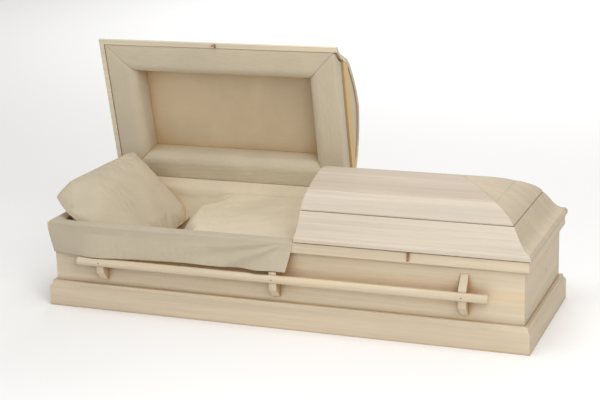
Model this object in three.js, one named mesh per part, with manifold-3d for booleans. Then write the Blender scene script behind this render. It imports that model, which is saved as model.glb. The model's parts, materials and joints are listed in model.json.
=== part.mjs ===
import * as THREE from 'three';
import { mergeVertices } from 'three/addons/utils/BufferGeometryUtils.js';
import Module from 'manifold-3d';

// Half-couch wooden casket in millimetres, +Z up.
// X runs along the length with the head at -X, the front is at -Y and the hinges at +Y.
// The origin is at the centre of the underside.
// Outlines are lists of [inset, height]: inset is measured inward from the outer face of a
// rectangular frame, so a mitred end follows from the inset alone.

// Plinth
const plinthLength = 2108;
const plinthWidth = 711;
const plinthProjection = 27;
const plinthFaceHeight = 77;
const plinthHeight = 109;
const plinthTopSetback = 11;
const plinthTopFillet = 4;
const plinthOgeeStart = 0.5;
const plinthOgeeEnd = 0.35;

// Case walls, bottom and the ledge round their tops
const wallThickness = 19;
const wallHeight = 372.5;
const bottomThickness = 19;
const ledgeProjection = 19.5;
const ledgeHeight = 44;
const ledgeEase = 1.5;

// Clearances
const jointGap = 0.3;
const mitreGap = 0.22;
const lidGap = 4;
const splitGap = 6;

// Crown of the lids, measured from the ledge's outer face and from the lid's underside
const splitCentre = 86;
const lidBoard = 19;
const noseOverhang = 8;
const noseHeight = 14;
const noseEase = 11;
const noseCrown = 5;
const rimWidth = 14;
const rimHeight = 14;
const stepInset = 82;
const stepRise = 109;
const stepSetback = 4;
const stepLip = 6.5;
const stepJoint = 1.6;
const facetInset = 174;
const facetRise = 175;
const crestRise = 224;
const endTopCrestGap = 3;
const facetGap = 0.36;
const curveSteps = 6;

// Fullness of the crown's curves, as shares of each board's width and rise
const lowerNear = 0.46;
const lowerFar = 0.61;
const lowerRise = 0.64;
const upperAcross = 0.28;
const upperRise = 0.62;
const topAcross = 0.483;
const topRise = 0.8;
const lowerHollowAcross = 0.7;
const lowerHollowRise = 0.4;

// Lid opening and hinges
const lidOpening = 79;
const hingeOffset = 2;
const hingePinRadius = 1.6;
const hingeLeafWidth = 25;
const hingeLeafThickness = 0.9;
const hingeEndMargin = 45;
const hingeKnuckle = 62;
const hingeKnuckleGap = 0.6;
const hingeLap = 1;
const hingeSides = 8;

// Upholstery of the head lid
const rollRimGap = 1;
const rollCutSetback = 12;
const rollWidth = 135;
const rollDepth = 118;
const rollShoulder = 42;
const rollShoulderSteps = 5;
const rollFlare = 4;
const rollLip = 7;
const rollBackClearance = 6;
const panelThickness = 4;
const panelTuck = 11;
const headerThickness = 19;
const headerSetback = 6;
const slatThickness = 5;
const slatFoot = 76;
const slatWidth = 50;
const overcut = 1;

// Handles: the bar's place from the middle of the bare wall between plinth and ledge and in from
// the plinth's ends, the arms' from the bar
const barDiameter = 35;
const barEndSetback = 161;
const barOffMiddle = -0.75;
const barStandoff = 43;
const barSides = 20;
const armEndSetback = 103;
const armWidth = 32;
const armReach = 45;
const armTopRise = 84;
const armShoulderRise = 25;
const armChinDrop = 46;
const armFootDrop = 87;
const armHeel = 7;
const notchClearance = 0.5;
const screwRecessDiameter = 5.5;
const screwRecessDepth = 8;
const screwRecessSides = 8;

// Soft goods
const liningThickness = 14;
const bedHeadDrop = 190;
const bedFootDrop = 30;
const bedHeadLength = 288;
const bedRampLength = 215;
const throwThickness = 1.3;
const throwStandoff = 0.4;
const throwFold = 0.45;
const throwClearance = 4;
const throwHeadDrop = 139;
const throwSplitDrop = 122;
const throwInner = 54;
const throwSlant = 26;
const throwSwellCore = 36;
const throwSwellReach = 110;
const throwColumns = 60;
const throwHeadColumns = 4;
const throwRows = 6;
const pillowLength = 550;
const pillowWidth = 420;
const pillowThickness = 128;
const pillowCorner = 7;
const pillowFullness = 0.45;
const pillowSegments = 28;
const pillowRings = 12;
const pillowHeadReach = 204;
const pillowOffCentre = -16;
const pillowRise = -13;
const pillowAlong = new THREE.Vector3(0.046, 0.999, 0.016);
const pillowDown = new THREE.Vector3(0.696, -0.021, -0.718);
const curtainHold = 36;
const curtainGap = 1.2;
const curtainThickness = 1.3;
const curtainEndGap = 8;
const curtainInset = 4;
const curtainRise = 2.5;
const curtainLean = 7;
const curtainBedGap = 3.5;

// Pull tabs
const tabWidth = 14;
const tabThickness = 1.3;
const tabDrop = 38;
const tabHold = 12;

// Sizes that follow from the ones above
const wallFace = {
  xMin: -plinthLength / 2 + plinthProjection,
  xMax: plinthLength / 2 - plinthProjection,
  yMin: -plinthWidth / 2 + plinthProjection,
  yMax: plinthWidth / 2 - plinthProjection,
};
const plinthFace = grown(wallFace, plinthProjection);
const ledgeFace = grown(wallFace, ledgeProjection);
const interior = grown(wallFace, -wallThickness - jointGap);
const bedSpace = grown(interior, -liningThickness - jointGap);
const lidBottom = wallHeight + lidGap;
const headLidEnd = splitCentre - splitGap / 2;
const footLidEnd = splitCentre + splitGap / 2;
const crestInset = ledgeFace.yMax;
const hingeY = ledgeFace.yMax + hingeOffset;
const hingeZ = wallHeight + lidGap / 2;
const barLength = plinthLength - 2 * barEndSetback;
const barHeight = (plinthHeight + wallHeight - ledgeHeight) / 2 + barOffMiddle;
const armSpacing = barLength / 2 - armEndSetback;
const armTop = barHeight + armTopRise;
const armShoulder = barHeight + armShoulderRise;
const bedHeadHeight = wallHeight - bedHeadDrop;
const bedFootHeight = wallHeight - bedFootDrop;
const bedRampStart = bedSpace.xMin + bedHeadLength;
const bedRampEnd = bedRampStart + bedRampLength;

// Materials, one for each kind of stuff
const finishes = {
  wood: { color: 0xe4d6b8, roughness: 0.72 },
  woodTop: { color: 0xdcc9ab, roughness: 0.74 },
  woodEnd: { color: 0xd8c7a4, roughness: 0.76 },
  rawWood: { color: 0xdcc08a, roughness: 0.8 },
  muslin: { color: 0xcdbd9c, roughness: 0.95 },
  panelCloth: { color: 0xbba886, roughness: 0.95 },
  leather: { color: 0x9a6a50, roughness: 0.6 },
  steel: { color: 0xa8a294, roughness: 0.4, metalness: 0.9 },
};

const wasm = await Module();
wasm.setup();

function grown(frame, by) {
  return {
    xMin: frame.xMin - by,
    xMax: frame.xMax + by,
    yMin: frame.yMin - by,
    yMax: frame.yMax + by,
  };
}

// Solids for cutting and joining
function solidOf(geometry) {
  const bare = geometry.index ? geometry.toNonIndexed() : geometry.clone();
  bare.deleteAttribute('normal');
  bare.deleteAttribute('uv');
  const merged = mergeVertices(bare, 1e-4);
  return new wasm.Manifold(new wasm.Mesh({
    numProp: 3,
    vertProperties: new Float32Array(merged.attributes.position.array),
    triVerts: new Uint32Array(merged.index.array),
  }));
}

function geometryOf(solid) {
  const mesh = solid.getMesh();
  const geometry = new THREE.BufferGeometry();
  geometry.setAttribute('position', new THREE.BufferAttribute(mesh.vertProperties, 3));
  geometry.setIndex(new THREE.BufferAttribute(mesh.triVerts, 1));
  return geometry;
}

function joined(...geometries) {
  return geometryOf(geometries.map(solidOf).reduce((whole, piece) => whole.add(piece)));
}

function drilled(geometry, tools) {
  return geometryOf(tools.map(solidOf).reduce((whole, tool) => whole.subtract(tool), solidOf(geometry)));
}

function shared(geometry, limit) {
  return geometryOf(solidOf(geometry).intersect(solidOf(limit)));
}

// An outline pushed out into a solid of length one, whose points are then placed by a rule
function swept(outline, place) {
  const shape = new THREE.Shape(outline.map(([across, up]) => new THREE.Vector2(across, up)));
  const geometry = new THREE.ExtrudeGeometry(shape, { depth: 1, bevelEnabled: false });
  const position = geometry.attributes.position;
  for (let i = 0; i < position.count; i += 1) {
    const place3 = place(position.getX(i), position.getY(i), position.getZ(i) > 0.5);
    position.setXYZ(i, ...place3);
  }
  geometry.computeVertexNormals();
  return geometry;
}

// One member of a rectangular frame: mitred at both ends unless from or to cuts it short
function member(outline, frame, side, { from, to } = {}) {
  const start = (inset, height) => (from ? from(inset, height) : frame.xMin + inset + mitreGap);
  const end = (inset, height) => (to ? to(inset, height) : frame.xMax - inset - mitreGap);
  const left = (inset) => frame.yMin + inset + mitreGap;
  const right = (inset) => frame.yMax - inset - mitreGap;
  const rules = {
    front: (inset, height, far) => [(far ? end : start)(inset, height), frame.yMin + inset, height],
    back: (inset, height, far) => [(far ? start : end)(inset, height), frame.yMax - inset, height],
    head: (inset, height, far) => [frame.xMin + inset, far ? left(inset) : right(inset), height],
    foot: (inset, height, far) => [frame.xMax - inset, far ? right(inset) : left(inset), height],
  };
  return swept(outline, rules[side]);
}

// A slab whose outline lies across the casket, from one x to another
function crossSlab(outline, x0, x1) {
  return swept(outline, (across, up, far) => [far ? x1 : x0, across, up]);
}

function block(xMin, xMax, yMin, yMax, zMin, zMax) {
  const geometry = new THREE.BoxGeometry(xMax - xMin, yMax - yMin, zMax - zMin);
  return geometry.translate((xMin + xMax) / 2, (yMin + yMax) / 2, (zMin + zMax) / 2);
}

// Curved stretches of an outline
function curved(curve, steps) {
  return curve.getPoints(steps).map((point) => [point.x, point.y]);
}

function between(a, b, share) {
  return a + (b - a) * share;
}

// A line of points moved sideways by a distance, towards the inside of the crown
function offsetLine(points, distance) {
  const normals = points.slice(1).map((point, i) => {
    const run = point[0] - points[i][0];
    const rise = point[1] - points[i][1];
    return new THREE.Vector2(rise, -run).normalize();
  });
  return points.map((point, i) => {
    const before = normals[Math.max(i - 1, 0)];
    const after = normals[Math.min(i, normals.length - 1)];
    const middle = before.clone().add(after).normalize();
    const reach = distance / middle.dot(before);
    return [point[0] + middle.x * reach, point[1] + middle.y * reach];
  });
}

// The stretch of a rising line of points between two heights
function heightSpan(points, low, high) {
  const at = (height) => {
    const i = points.findIndex((point, k) => k > 0 && point[1] >= height);
    const [a, b] = [points[i - 1], points[i]];
    return [between(a[0], b[0], (height - a[1]) / (b[1] - a[1])), height];
  };
  const inside = points.filter((point) => point[1] > low + 0.01 && point[1] < high - 0.01);
  return [at(low), ...inside, at(high)];
}

function raised(outline, by) {
  return outline.map(([inset, height]) => [inset, height + by]);
}

function piece(name, geometry, finish, parent) {
  const material = new THREE.MeshStandardMaterial({ metalness: 0, ...finishes[finish] });
  const mesh = new THREE.Mesh(geometry, material);
  mesh.name = name;
  parent.add(mesh);
  return mesh;
}

const SIDES = ['front', 'back', 'head', 'foot'];

// Case: bottom, walls, plinth and ledge
function buildCase(parent) {
  const floor = block(interior.xMin, interior.xMax, interior.yMin, interior.yMax, 0, bottomThickness);
  piece('bottom_board', floor, 'wood', parent);

  const wall = [[0, 0], [wallThickness, 0], [wallThickness, wallHeight], [0, wallHeight]];
  const ogee = curved(new THREE.CubicBezierCurve(
    new THREE.Vector2(0, plinthFaceHeight),
    new THREE.Vector2(0, between(plinthFaceHeight, plinthHeight, plinthOgeeStart)),
    new THREE.Vector2(plinthTopSetback, between(plinthFaceHeight, plinthHeight, plinthOgeeEnd)),
    new THREE.Vector2(plinthTopSetback, plinthHeight - plinthTopFillet),
  ), curveSteps);
  const plinth = [
    [plinthProjection - jointGap, 0],
    [0, 0],
    ...ogee,
    [plinthTopSetback, plinthHeight],
    [plinthProjection - jointGap, plinthHeight],
  ];
  const ledgeFoot = wallHeight - ledgeHeight;
  const ledge = [
    [ledgeProjection - jointGap, ledgeFoot],
    [ledgeEase, ledgeFoot],
    [0, ledgeFoot + ledgeEase],
    [0, wallHeight - ledgeEase],
    [ledgeEase, wallHeight],
    [ledgeProjection - jointGap, wallHeight],
  ];
  const wallNames = {
    front: 'side_panel_front', back: 'side_panel_back', head: 'end_panel_head', foot: 'end_panel_foot',
  };
  for (const side of SIDES) {
    piece(wallNames[side], member(wall, wallFace, side), 'wood', parent);
    piece(`plinth_${side}`, member(plinth, plinthFace, side), 'wood', parent);
    piece(`ledge_${side}`, member(ledge, ledgeFace, side), 'wood', parent);
  }
}

// Handles: a bar lying in the notches of three arms, on the front and on the back
function buildHandles(parent) {
  const notch = barDiameter / 2 + notchClearance;
  const armProfile = () => {
    const shape = new THREE.Shape();
    const opening = Math.asin((armReach - barStandoff) / notch);
    shape.moveTo(jointGap, barHeight - armFootDrop);
    shape.lineTo(armHeel, barHeight - armFootDrop);
    shape.lineTo(armReach, barHeight - armChinDrop);
    shape.absarc(barStandoff, barHeight, notch, -Math.PI / 2 + opening, Math.PI / 2 - opening, true);
    shape.lineTo(armReach, armShoulder);
    shape.lineTo(jointGap, armTop);
    return shape.extractPoints(barSides / 2).shape.map((point) => [point.x, point.y]);
  };
  const screwAt = [-armSpacing, 0, armSpacing];
  for (const [side, sign] of [['front', -1], ['back', 1]]) {
    const faceY = sign < 0 ? wallFace.yMin : wallFace.yMax;
    const centreY = faceY + sign * barStandoff;
    const bar = new THREE.CylinderGeometry(barDiameter / 2, barDiameter / 2, barLength, barSides);
    bar.rotateZ(Math.PI / 2).translate(0, centreY, barHeight);
    const recessRadius = screwRecessDiameter / 2;
    const recesses = screwAt.map((x) => {
      const length = 2 * screwRecessDepth;
      const recess = new THREE.CylinderGeometry(recessRadius, recessRadius, length, screwRecessSides);
      return recess.translate(x, centreY + (sign * barDiameter) / 2, barHeight);
    });
    piece(`handle_bar_${side}`, drilled(bar, recesses), 'wood', parent);
    screwAt.forEach((x, i) => {
      const half = armWidth / 2;
      const place = (out, up, far) => [x + (far === sign > 0 ? half : -half), faceY + sign * out, up];
      piece(`handle_arm_${side}_${i + 1}`, swept(armProfile(), place), 'wood', parent);
    });
  }
}

// Bed and wall lining
function buildInterior(parent) {
  const floorTop = bottomThickness + jointGap;
  const pad = [[0, floorTop], [liningThickness, floorTop], [liningThickness, wallHeight], [0, wallHeight]];
  for (const side of SIDES) {
    piece(`lining_${side}`, member(pad, interior, side), 'muslin', parent);
  }
  const bed = [
    [bedSpace.xMin, floorTop],
    [bedSpace.xMax, floorTop],
    [bedSpace.xMax, bedFootHeight],
    [bedRampEnd, bedFootHeight],
    [bedRampStart, bedHeadHeight],
    [bedSpace.xMin, bedHeadHeight],
  ];
  const bedPlace = (x, z, far) => [x, far ? bedSpace.yMin : bedSpace.yMax, z];
  piece('bed_pad', swept(bed, bedPlace), 'muslin', parent);
}

// Muslin sheet over the front and head ledges: its flaps hang outside and swell over the arms
function buildThrow(parent) {
  const outerFace = grown(ledgeFace, throwStandoff + throwThickness);
  const inFace = grown(outerFace, -throwFold);
  const foot = wallHeight + throwStandoff;
  const top = foot + throwThickness;
  const flapTop = top - throwFold;
  const frontStrip = block(
    inFace.xMin, headLidEnd, inFace.yMin, ledgeFace.yMin + throwInner, foot, top,
  );
  const headStrip = block(
    inFace.xMin, ledgeFace.xMin + throwInner, ledgeFace.yMin + throwInner / 2, bedSpace.yMax, foot, top,
  );
  const armSlope = armReach / (armTop - armShoulder);
  const swell = (x, z) => {
    const armOut = Math.min(armReach, Math.max(0, (armTop - z) * armSlope));
    const need = armOut + throwClearance - ledgeProjection;
    const away = Math.min(Math.abs(x), Math.abs(x + armSpacing));
    const share = 1 - (away - throwSwellCore) / (throwSwellReach - throwSwellCore);
    return Math.max(0, need) * Math.min(1, Math.max(0, share));
  };
  const frontFlap = flap(throwColumns, (share, inner, down) => {
    const level = between(inFace.xMin, headLidEnd - throwFold, share);
    const x = level - throwSlant * down * share;
    const z = flapTop - between(throwHeadDrop, throwSplitDrop, share) * down;
    return [x, outerFace.yMin - swell(x, z) + (inner ? throwThickness : 0), z];
  });
  const headFlap = flap(throwHeadColumns, (share, inner, down) => {
    const y = between(bedSpace.yMax - throwFold, inFace.yMin, share);
    return [outerFace.xMin + (inner ? throwThickness : 0), y, flapTop - (throwHeadDrop + throwFold) * down];
  });
  piece('throw', joined(frontStrip, headStrip, frontFlap, headFlap), 'muslin', parent);
}

// A thin hanging sheet: a box in columns and rows whose points are placed by a rule
function flap(columns, place) {
  const geometry = new THREE.BoxGeometry(1, 1, 1, columns, 1, throwRows);
  const position = geometry.attributes.position;
  for (let i = 0; i < position.count; i += 1) {
    const share = position.getX(i) + 0.5;
    const down = 0.5 - position.getZ(i);
    position.setXYZ(i, ...place(share, position.getY(i) > 0, down));
  }
  return geometry;
}

// Cloth strip that covers the hinge from inside, from the open lid's back roll down to the bed
function buildCurtain(parent) {
  const held = new THREE.Vector2(ledgeFace.yMax - curtainHold, lidBottom - curtainGap);
  held.rotateAround(new THREE.Vector2(hingeY, hingeZ), -THREE.MathUtils.degToRad(lidOpening));
  const over = bedSpace.yMax - curtainInset;
  const line = [
    [held.x, held.y],
    [over, wallHeight + curtainRise],
    [over - curtainLean, bedFootHeight + curtainBedGap],
  ];
  const outline = [...line, ...offsetLine(line, curtainThickness).reverse()];
  const x0 = ledgeFace.xMin + throwInner + curtainEndGap;
  piece('hinge_curtain', crossSlab(outline, x0, headLidEnd - curtainEndGap), 'muslin', parent);
}

// A cushion: a sphere pressed into a thick rounded rectangle, leaning on the head ledge
function buildPillow(parent) {
  const geometry = new THREE.SphereGeometry(1, pillowSegments, pillowRings);
  const position = geometry.attributes.position;
  for (let i = 0; i < position.count; i += 1) {
    const [x, z] = [position.getX(i), position.getZ(i)];
    const angle = Math.atan2(z, x);
    const corner = Math.abs(Math.cos(angle)) ** pillowCorner + Math.abs(Math.sin(angle)) ** pillowCorner;
    const edge = Math.hypot(x, z) ** pillowFullness / corner ** (1 / pillowCorner) / 2;
    const across = Math.cos(angle) * edge * pillowWidth;
    const lengthwise = Math.sin(angle) * edge * pillowLength;
    position.setXYZ(i, across, (pillowThickness / 2) * position.getY(i), lengthwise);
  }
  geometry.deleteAttribute('normal');
  geometry.deleteAttribute('uv');
  const closed = mergeVertices(geometry, 1e-3);
  const along = pillowAlong.clone().normalize();
  const under = along.clone().cross(pillowDown).normalize();
  const down = under.clone().cross(along);
  const turn = new THREE.Matrix4().makeBasis(down, under, along);
  const pillow = piece('pillow', closed, 'muslin', parent);
  pillow.quaternion.setFromRotationMatrix(turn);
  pillow.position.set(ledgeFace.xMin + pillowHeadReach, pillowOffCentre, wallHeight + pillowRise);
}

// Outer and inner outlines of the lid boards
const lowerOuter = [
  [-noseOverhang, 0],
  [-noseOverhang, noseHeight],
  ...curved(new THREE.CubicBezierCurve(
    new THREE.Vector2(0, noseHeight + noseEase),
    new THREE.Vector2(stepInset * lowerNear, noseHeight + noseEase + noseCrown),
    new THREE.Vector2(stepInset * lowerFar, between(noseHeight, stepRise, lowerRise)),
    new THREE.Vector2(stepInset - stepSetback, stepRise - stepJoint / 2),
  ), curveSteps),
];
const upperOuter = [
  [stepInset, stepRise + stepJoint / 2],
  ...curved(new THREE.QuadraticBezierCurve(
    new THREE.Vector2(stepInset, stepRise + stepLip),
    new THREE.Vector2(between(stepInset, facetInset, upperAcross), between(stepRise, facetRise, upperRise)),
    new THREE.Vector2(facetInset, facetRise),
  ), curveSteps),
];
const topOuter = curved(new THREE.QuadraticBezierCurve(
  new THREE.Vector2(facetInset, facetRise),
  new THREE.Vector2(between(facetInset, crestInset, topAcross), between(facetRise, crestRise, topRise)),
  new THREE.Vector2(crestInset, crestRise),
), curveSteps);

// Inner faces run one board thickness inside the outer ones, apart from the lower board's back
const upperInner = offsetLine(upperOuter.slice(1), lidBoard);
const topInner = offsetLine(topOuter, lidBoard);
topInner[topInner.length - 1][0] = crestInset;
const facetInner = upperInner[upperInner.length - 1];
topInner[0] = [facetInner[0], facetInner[1]];
const kneeInset = stepInset + lidBoard;
const upperInside = [[kneeInset, stepRise + stepJoint / 2], ...upperInner.slice(2)];
const lowerInside = [
  [rimWidth, 0],
  [rimWidth, rimHeight],
  [between(rimWidth, stepInset, lowerHollowAcross), between(rimHeight, stepRise, lowerHollowRise)],
  [kneeInset, stepRise - stepJoint / 2],
];
const crownInside = [...lowerInside, ...upperInside, ...topInner.slice(1)];

// A closed slab outline across the crown, following its inner faces at a clearance
function crownSection(clearance, low, high = crestRise - lidBoard - clearance) {
  const line = offsetLine(crownInside, clearance);
  line[line.length - 1][0] = crestInset;
  line[0] = [line[0][0], 0];
  const half = heightSpan(line, low, high);
  const front = half.map(([inset, rise]) => [ledgeFace.yMin + inset, lidBottom + rise]);
  const back = half.map(([inset, rise]) => [ledgeFace.yMax - inset, lidBottom + rise]).reverse();
  const meets = Math.abs(front[front.length - 1][0] - back[0][0]) < 0.01;
  return [...front, ...(meets ? back.slice(1) : back)];
}

// Crown boards of one lid; its end side is the head or the foot of the casket
function buildCrown(prefix, endSide, cutX, parent) {
  const spans = endSide === 'foot' ? { from: () => cutX } : { to: () => cutX };
  const lower = raised([...lowerOuter, ...lowerInside.slice().reverse()], lidBottom);
  const upper = raised([...upperOuter, ...upperInside.slice().reverse()], lidBottom);
  const topShift = ([inset, rise], i) => (i === 0 ? [inset + facetGap, rise] : [inset, rise]);
  const topHalf = raised([...topOuter.map(topShift), ...topInner.map(topShift).reverse()], lidBottom);
  for (const side of ['front', 'back']) {
    piece(`${prefix}_${side}_lower`, member(lower, ledgeFace, side, spans), 'wood', parent);
    piece(`${prefix}_${side}_upper`, member(upper, ledgeFace, side, spans), 'wood', parent);
  }
  piece(`${prefix}_end_lower`, member(lower, ledgeFace, endSide), 'woodEnd', parent);
  piece(`${prefix}_end_upper`, member(upper, ledgeFace, endSide), 'woodEnd', parent);
  const top = joined(member(topHalf, ledgeFace, 'front', spans), member(topHalf, ledgeFace, 'back', spans));
  piece(`${prefix}_top`, top, 'woodTop', parent);
  const apex = crestInset - endTopCrestGap;
  const shortened = topHalf.map(([inset, height]) => [Math.min(inset, apex), height]);
  piece(`${prefix}_end_top`, member(shortened, ledgeFace, endSide), 'woodEnd', parent);
}

// Padded cloth frame with a recessed centre panel inside the head lid
function buildUpholstery(parent) {
  const rim = {
    xMin: ledgeFace.xMin + rimWidth + rollRimGap,
    xMax: headLidEnd - rollCutSetback,
    yMin: ledgeFace.yMin + rimWidth + rollRimGap,
    yMax: ledgeFace.yMax - rimWidth - rollRimGap,
  };
  const lip = rollWidth - rollFlare;
  const face = [
    [rollWidth, rollDepth],
    ...curved(new THREE.QuadraticBezierCurve(
      new THREE.Vector2(lip, rollShoulder),
      new THREE.Vector2(lip, 0),
      new THREE.Vector2(lip - rollShoulder, 0),
    ), rollShoulderSteps),
    [0, 0],
  ];
  const shell = offsetLine(crownInside, rollBackClearance);
  const back = heightSpan(shell.slice(1), rimHeight, rollDepth).slice(1);
  const backLine = back.map(([inset, rise]) => [inset - rimWidth - rollRimGap, rise]);
  const roll = raised([...face, [0, rollLip], ...backLine], lidBottom);
  for (const [side, name] of [['front', 'front'], ['back', 'back'], ['head', 'end']]) {
    piece(`head_lid_roll_${name}`, member(roll, rim, side), 'muslin', parent);
  }
  const heel = headerSetback + headerThickness - rollCutSetback + rollBackClearance;
  const cutBack = slatFoot - jointGap;
  const cutRoll = raised([...face, [0, cutBack], [heel, cutBack], [heel, rollDepth]], lidBottom);
  const hollow = crossSlab(crownSection(rollBackClearance, 0), rim.xMin, rim.xMax + overcut);
  const rolled = shared(member(cutRoll, rim, 'foot'), hollow);
  piece('head_lid_roll_cut', rolled, 'muslin', parent);

  const panel = grown(rim, panelTuck - rollWidth);
  const panelFoot = lidBottom + rollDepth + jointGap;
  const panelTop = panelFoot + panelThickness;
  const sheet = block(panel.xMin, panel.xMax, panel.yMin, panel.yMax, panelFoot, panelTop);
  piece('head_lid_centre_panel', sheet, 'panelCloth', parent);
}

// Boards that close the crown at the split
function buildHeaders(headParent, footParent) {
  const headOuter = headLidEnd - headerSetback;
  const section = crownSection(jointGap * 2, slatFoot);
  const headBoard = crossSlab(section, headOuter - headerThickness, headOuter);
  piece('head_lid_header', headBoard, 'woodEnd', headParent);
  const slat = crownSection(jointGap * 2, slatFoot, slatFoot + slatWidth);
  const slatFace = headOuter + jointGap + slatThickness;
  piece('head_lid_slat', crossSlab(slat, headOuter + jointGap, slatFace), 'rawWood', headParent);
  const footOuter = footLidEnd + headerSetback;
  const whole = crownSection(jointGap * 2, 0);
  piece('foot_lid_header', crossSlab(whole, footOuter, footOuter + headerThickness), 'woodEnd', footParent);
}

// Pull tab held under the front rim, bent down in front of the ledge
function buildTab(name, x, parent) {
  const outer = -noseOverhang;
  const strapTop = lidBottom - jointGap;
  const foot = strapTop - tabDrop;
  const strap = [
    [outer, foot],
    [outer + tabThickness, foot],
    [outer + tabThickness, strapTop - tabThickness],
    [tabHold, strapTop - tabThickness],
    [tabHold, strapTop],
    [outer, strapTop],
  ];
  const from = () => x - tabWidth / 2;
  const to = () => x + tabWidth / 2;
  piece(name, member(strap, ledgeFace, 'front', { from, to }), 'leather', parent);
}

// One leaf of a long hinge with its share of the knuckles
function hingeLeaf(x0, x1, zMin, offset) {
  const inner = ledgeFace.yMax - hingeLeafWidth;
  const edge = ledgeFace.yMax - hingePinRadius / 2;
  const parts = [block(x0, x1, inner, edge, zMin, zMin + hingeLeafThickness)];
  const count = Math.floor((x1 - x0) / hingeKnuckle);
  for (let i = offset; i < count; i += 2) {
    const a = x0 + i * hingeKnuckle + hingeKnuckleGap / 2;
    const b = a + hingeKnuckle - hingeKnuckleGap;
    const barrel = new THREE.CylinderGeometry(hingePinRadius, hingePinRadius, b - a, hingeSides);
    barrel.rotateZ(Math.PI / 2).translate((a + b) / 2, hingeY, hingeZ);
    parts.push(block(a, b, edge - hingeLap, hingeY, zMin, zMin + hingeLeafThickness), barrel);
  }
  return joined(...parts);
}

function buildHinge(prefix, x0, x1, lidParent, caseParent) {
  const caseFoot = wallHeight + jointGap;
  const lidFoot = lidBottom - jointGap - hingeLeafThickness;
  piece(`${prefix}_hinge_case_leaf`, hingeLeaf(x0, x1, caseFoot, 0), 'steel', caseParent);
  piece(`${prefix}_hinge_lid_leaf`, hingeLeaf(x0, x1, lidFoot, 1), 'steel', lidParent);
}

// A lid turns about the hinge axis: an outer group carries the turn, an inner one undoes the shift
function lidGroup(parent, opening) {
  const turning = new THREE.Group();
  turning.position.set(0, hingeY, hingeZ);
  turning.rotation.x = -THREE.MathUtils.degToRad(opening);
  const shifted = new THREE.Group();
  shifted.position.set(0, -hingeY, -hingeZ);
  turning.add(shifted);
  parent.add(turning);
  return shifted;
}

const group = new THREE.Group();
buildCase(group);
buildHandles(group);
buildInterior(group);
buildThrow(group);
buildCurtain(group);
buildPillow(group);

const headLid = lidGroup(group, lidOpening);
const footLid = lidGroup(group, 0);
buildCrown('head_lid', 'head', headLidEnd, headLid);
buildCrown('foot_lid', 'foot', footLidEnd, footLid);
buildUpholstery(headLid);
buildHeaders(headLid, footLid);
buildTab('head_lid_tab', (ledgeFace.xMin + headLidEnd) / 2, headLid);
buildTab('foot_lid_tab', (footLidEnd + ledgeFace.xMax) / 2, footLid);
const headHinge = [ledgeFace.xMin + hingeEndMargin, headLidEnd - hingeEndMargin];
const footHinge = [footLidEnd + hingeEndMargin, ledgeFace.xMax - hingeEndMargin];
buildHinge('head', ...headHinge, headLid, group);
buildHinge('foot', ...footHinge, footLid, group);

export default group;
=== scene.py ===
"""Half-couch wooden casket: board finishes, cloth, padding, fittings, stage and camera, in metres."""

import json
import math

import bmesh
import bpy
import numpy as np
from bpy.props import FloatProperty, FloatVectorProperty, IntProperty, PointerProperty
from mathutils import Matrix, Vector


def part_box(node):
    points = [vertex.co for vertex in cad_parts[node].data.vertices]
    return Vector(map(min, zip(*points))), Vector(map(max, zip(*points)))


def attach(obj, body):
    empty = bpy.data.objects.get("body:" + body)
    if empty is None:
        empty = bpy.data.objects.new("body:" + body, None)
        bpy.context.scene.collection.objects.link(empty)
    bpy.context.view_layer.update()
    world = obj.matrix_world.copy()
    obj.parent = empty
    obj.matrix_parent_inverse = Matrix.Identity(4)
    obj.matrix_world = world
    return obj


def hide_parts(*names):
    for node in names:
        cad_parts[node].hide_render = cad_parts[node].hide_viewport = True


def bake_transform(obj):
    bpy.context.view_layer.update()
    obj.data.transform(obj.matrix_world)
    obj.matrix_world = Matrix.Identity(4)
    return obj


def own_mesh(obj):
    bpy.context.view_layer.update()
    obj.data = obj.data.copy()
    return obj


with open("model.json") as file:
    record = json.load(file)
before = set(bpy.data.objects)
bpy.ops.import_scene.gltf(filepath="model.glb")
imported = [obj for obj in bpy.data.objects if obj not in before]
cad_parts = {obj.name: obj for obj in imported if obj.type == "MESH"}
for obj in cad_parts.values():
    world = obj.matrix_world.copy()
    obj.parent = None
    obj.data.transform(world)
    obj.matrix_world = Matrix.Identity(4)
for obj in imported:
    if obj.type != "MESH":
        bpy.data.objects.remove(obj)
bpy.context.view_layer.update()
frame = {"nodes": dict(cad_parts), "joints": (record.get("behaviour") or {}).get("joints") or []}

bl_info = {
    "name": "Half-couch wooden casket",
    "version": (1, 0, 0),
    "blender": (4, 5, 0),
    "location": "View3D > Sidebar > Casket",
    "description": "Dresses the casket's boards, bed, pillow and lid padding, and sets the stage",
    "category": "Object",
}

NODES = frame["nodes"]
HEAD_HINGE = next(j for j in frame["joints"] if j["name"] == "head_lid_hinge")
HINGE_POINT = Vector(HEAD_HINGE["pos_m"])
LID_OPENING = math.radians(HEAD_HINGE["range_deg"][1])
OPEN_LID = (
    Matrix.Translation(HINGE_POINT)
    @ Matrix.Rotation(-LID_OPENING, 4, "X")
    @ Matrix.Translation(-HINGE_POINT)
)
CLOSE_LID = OPEN_LID.inverted()


# Settings that a user would change
def colour_setting(name, description, default):
    return FloatVectorProperty(
        name=name, description=description, subtype="COLOR", default=default, min=0, max=1,
    )


def length_setting(name, description, default, low, high):
    return FloatProperty(
        name=name, description=description, subtype="DISTANCE", unit="LENGTH",
        default=default, min=low, max=high,
    )


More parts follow.
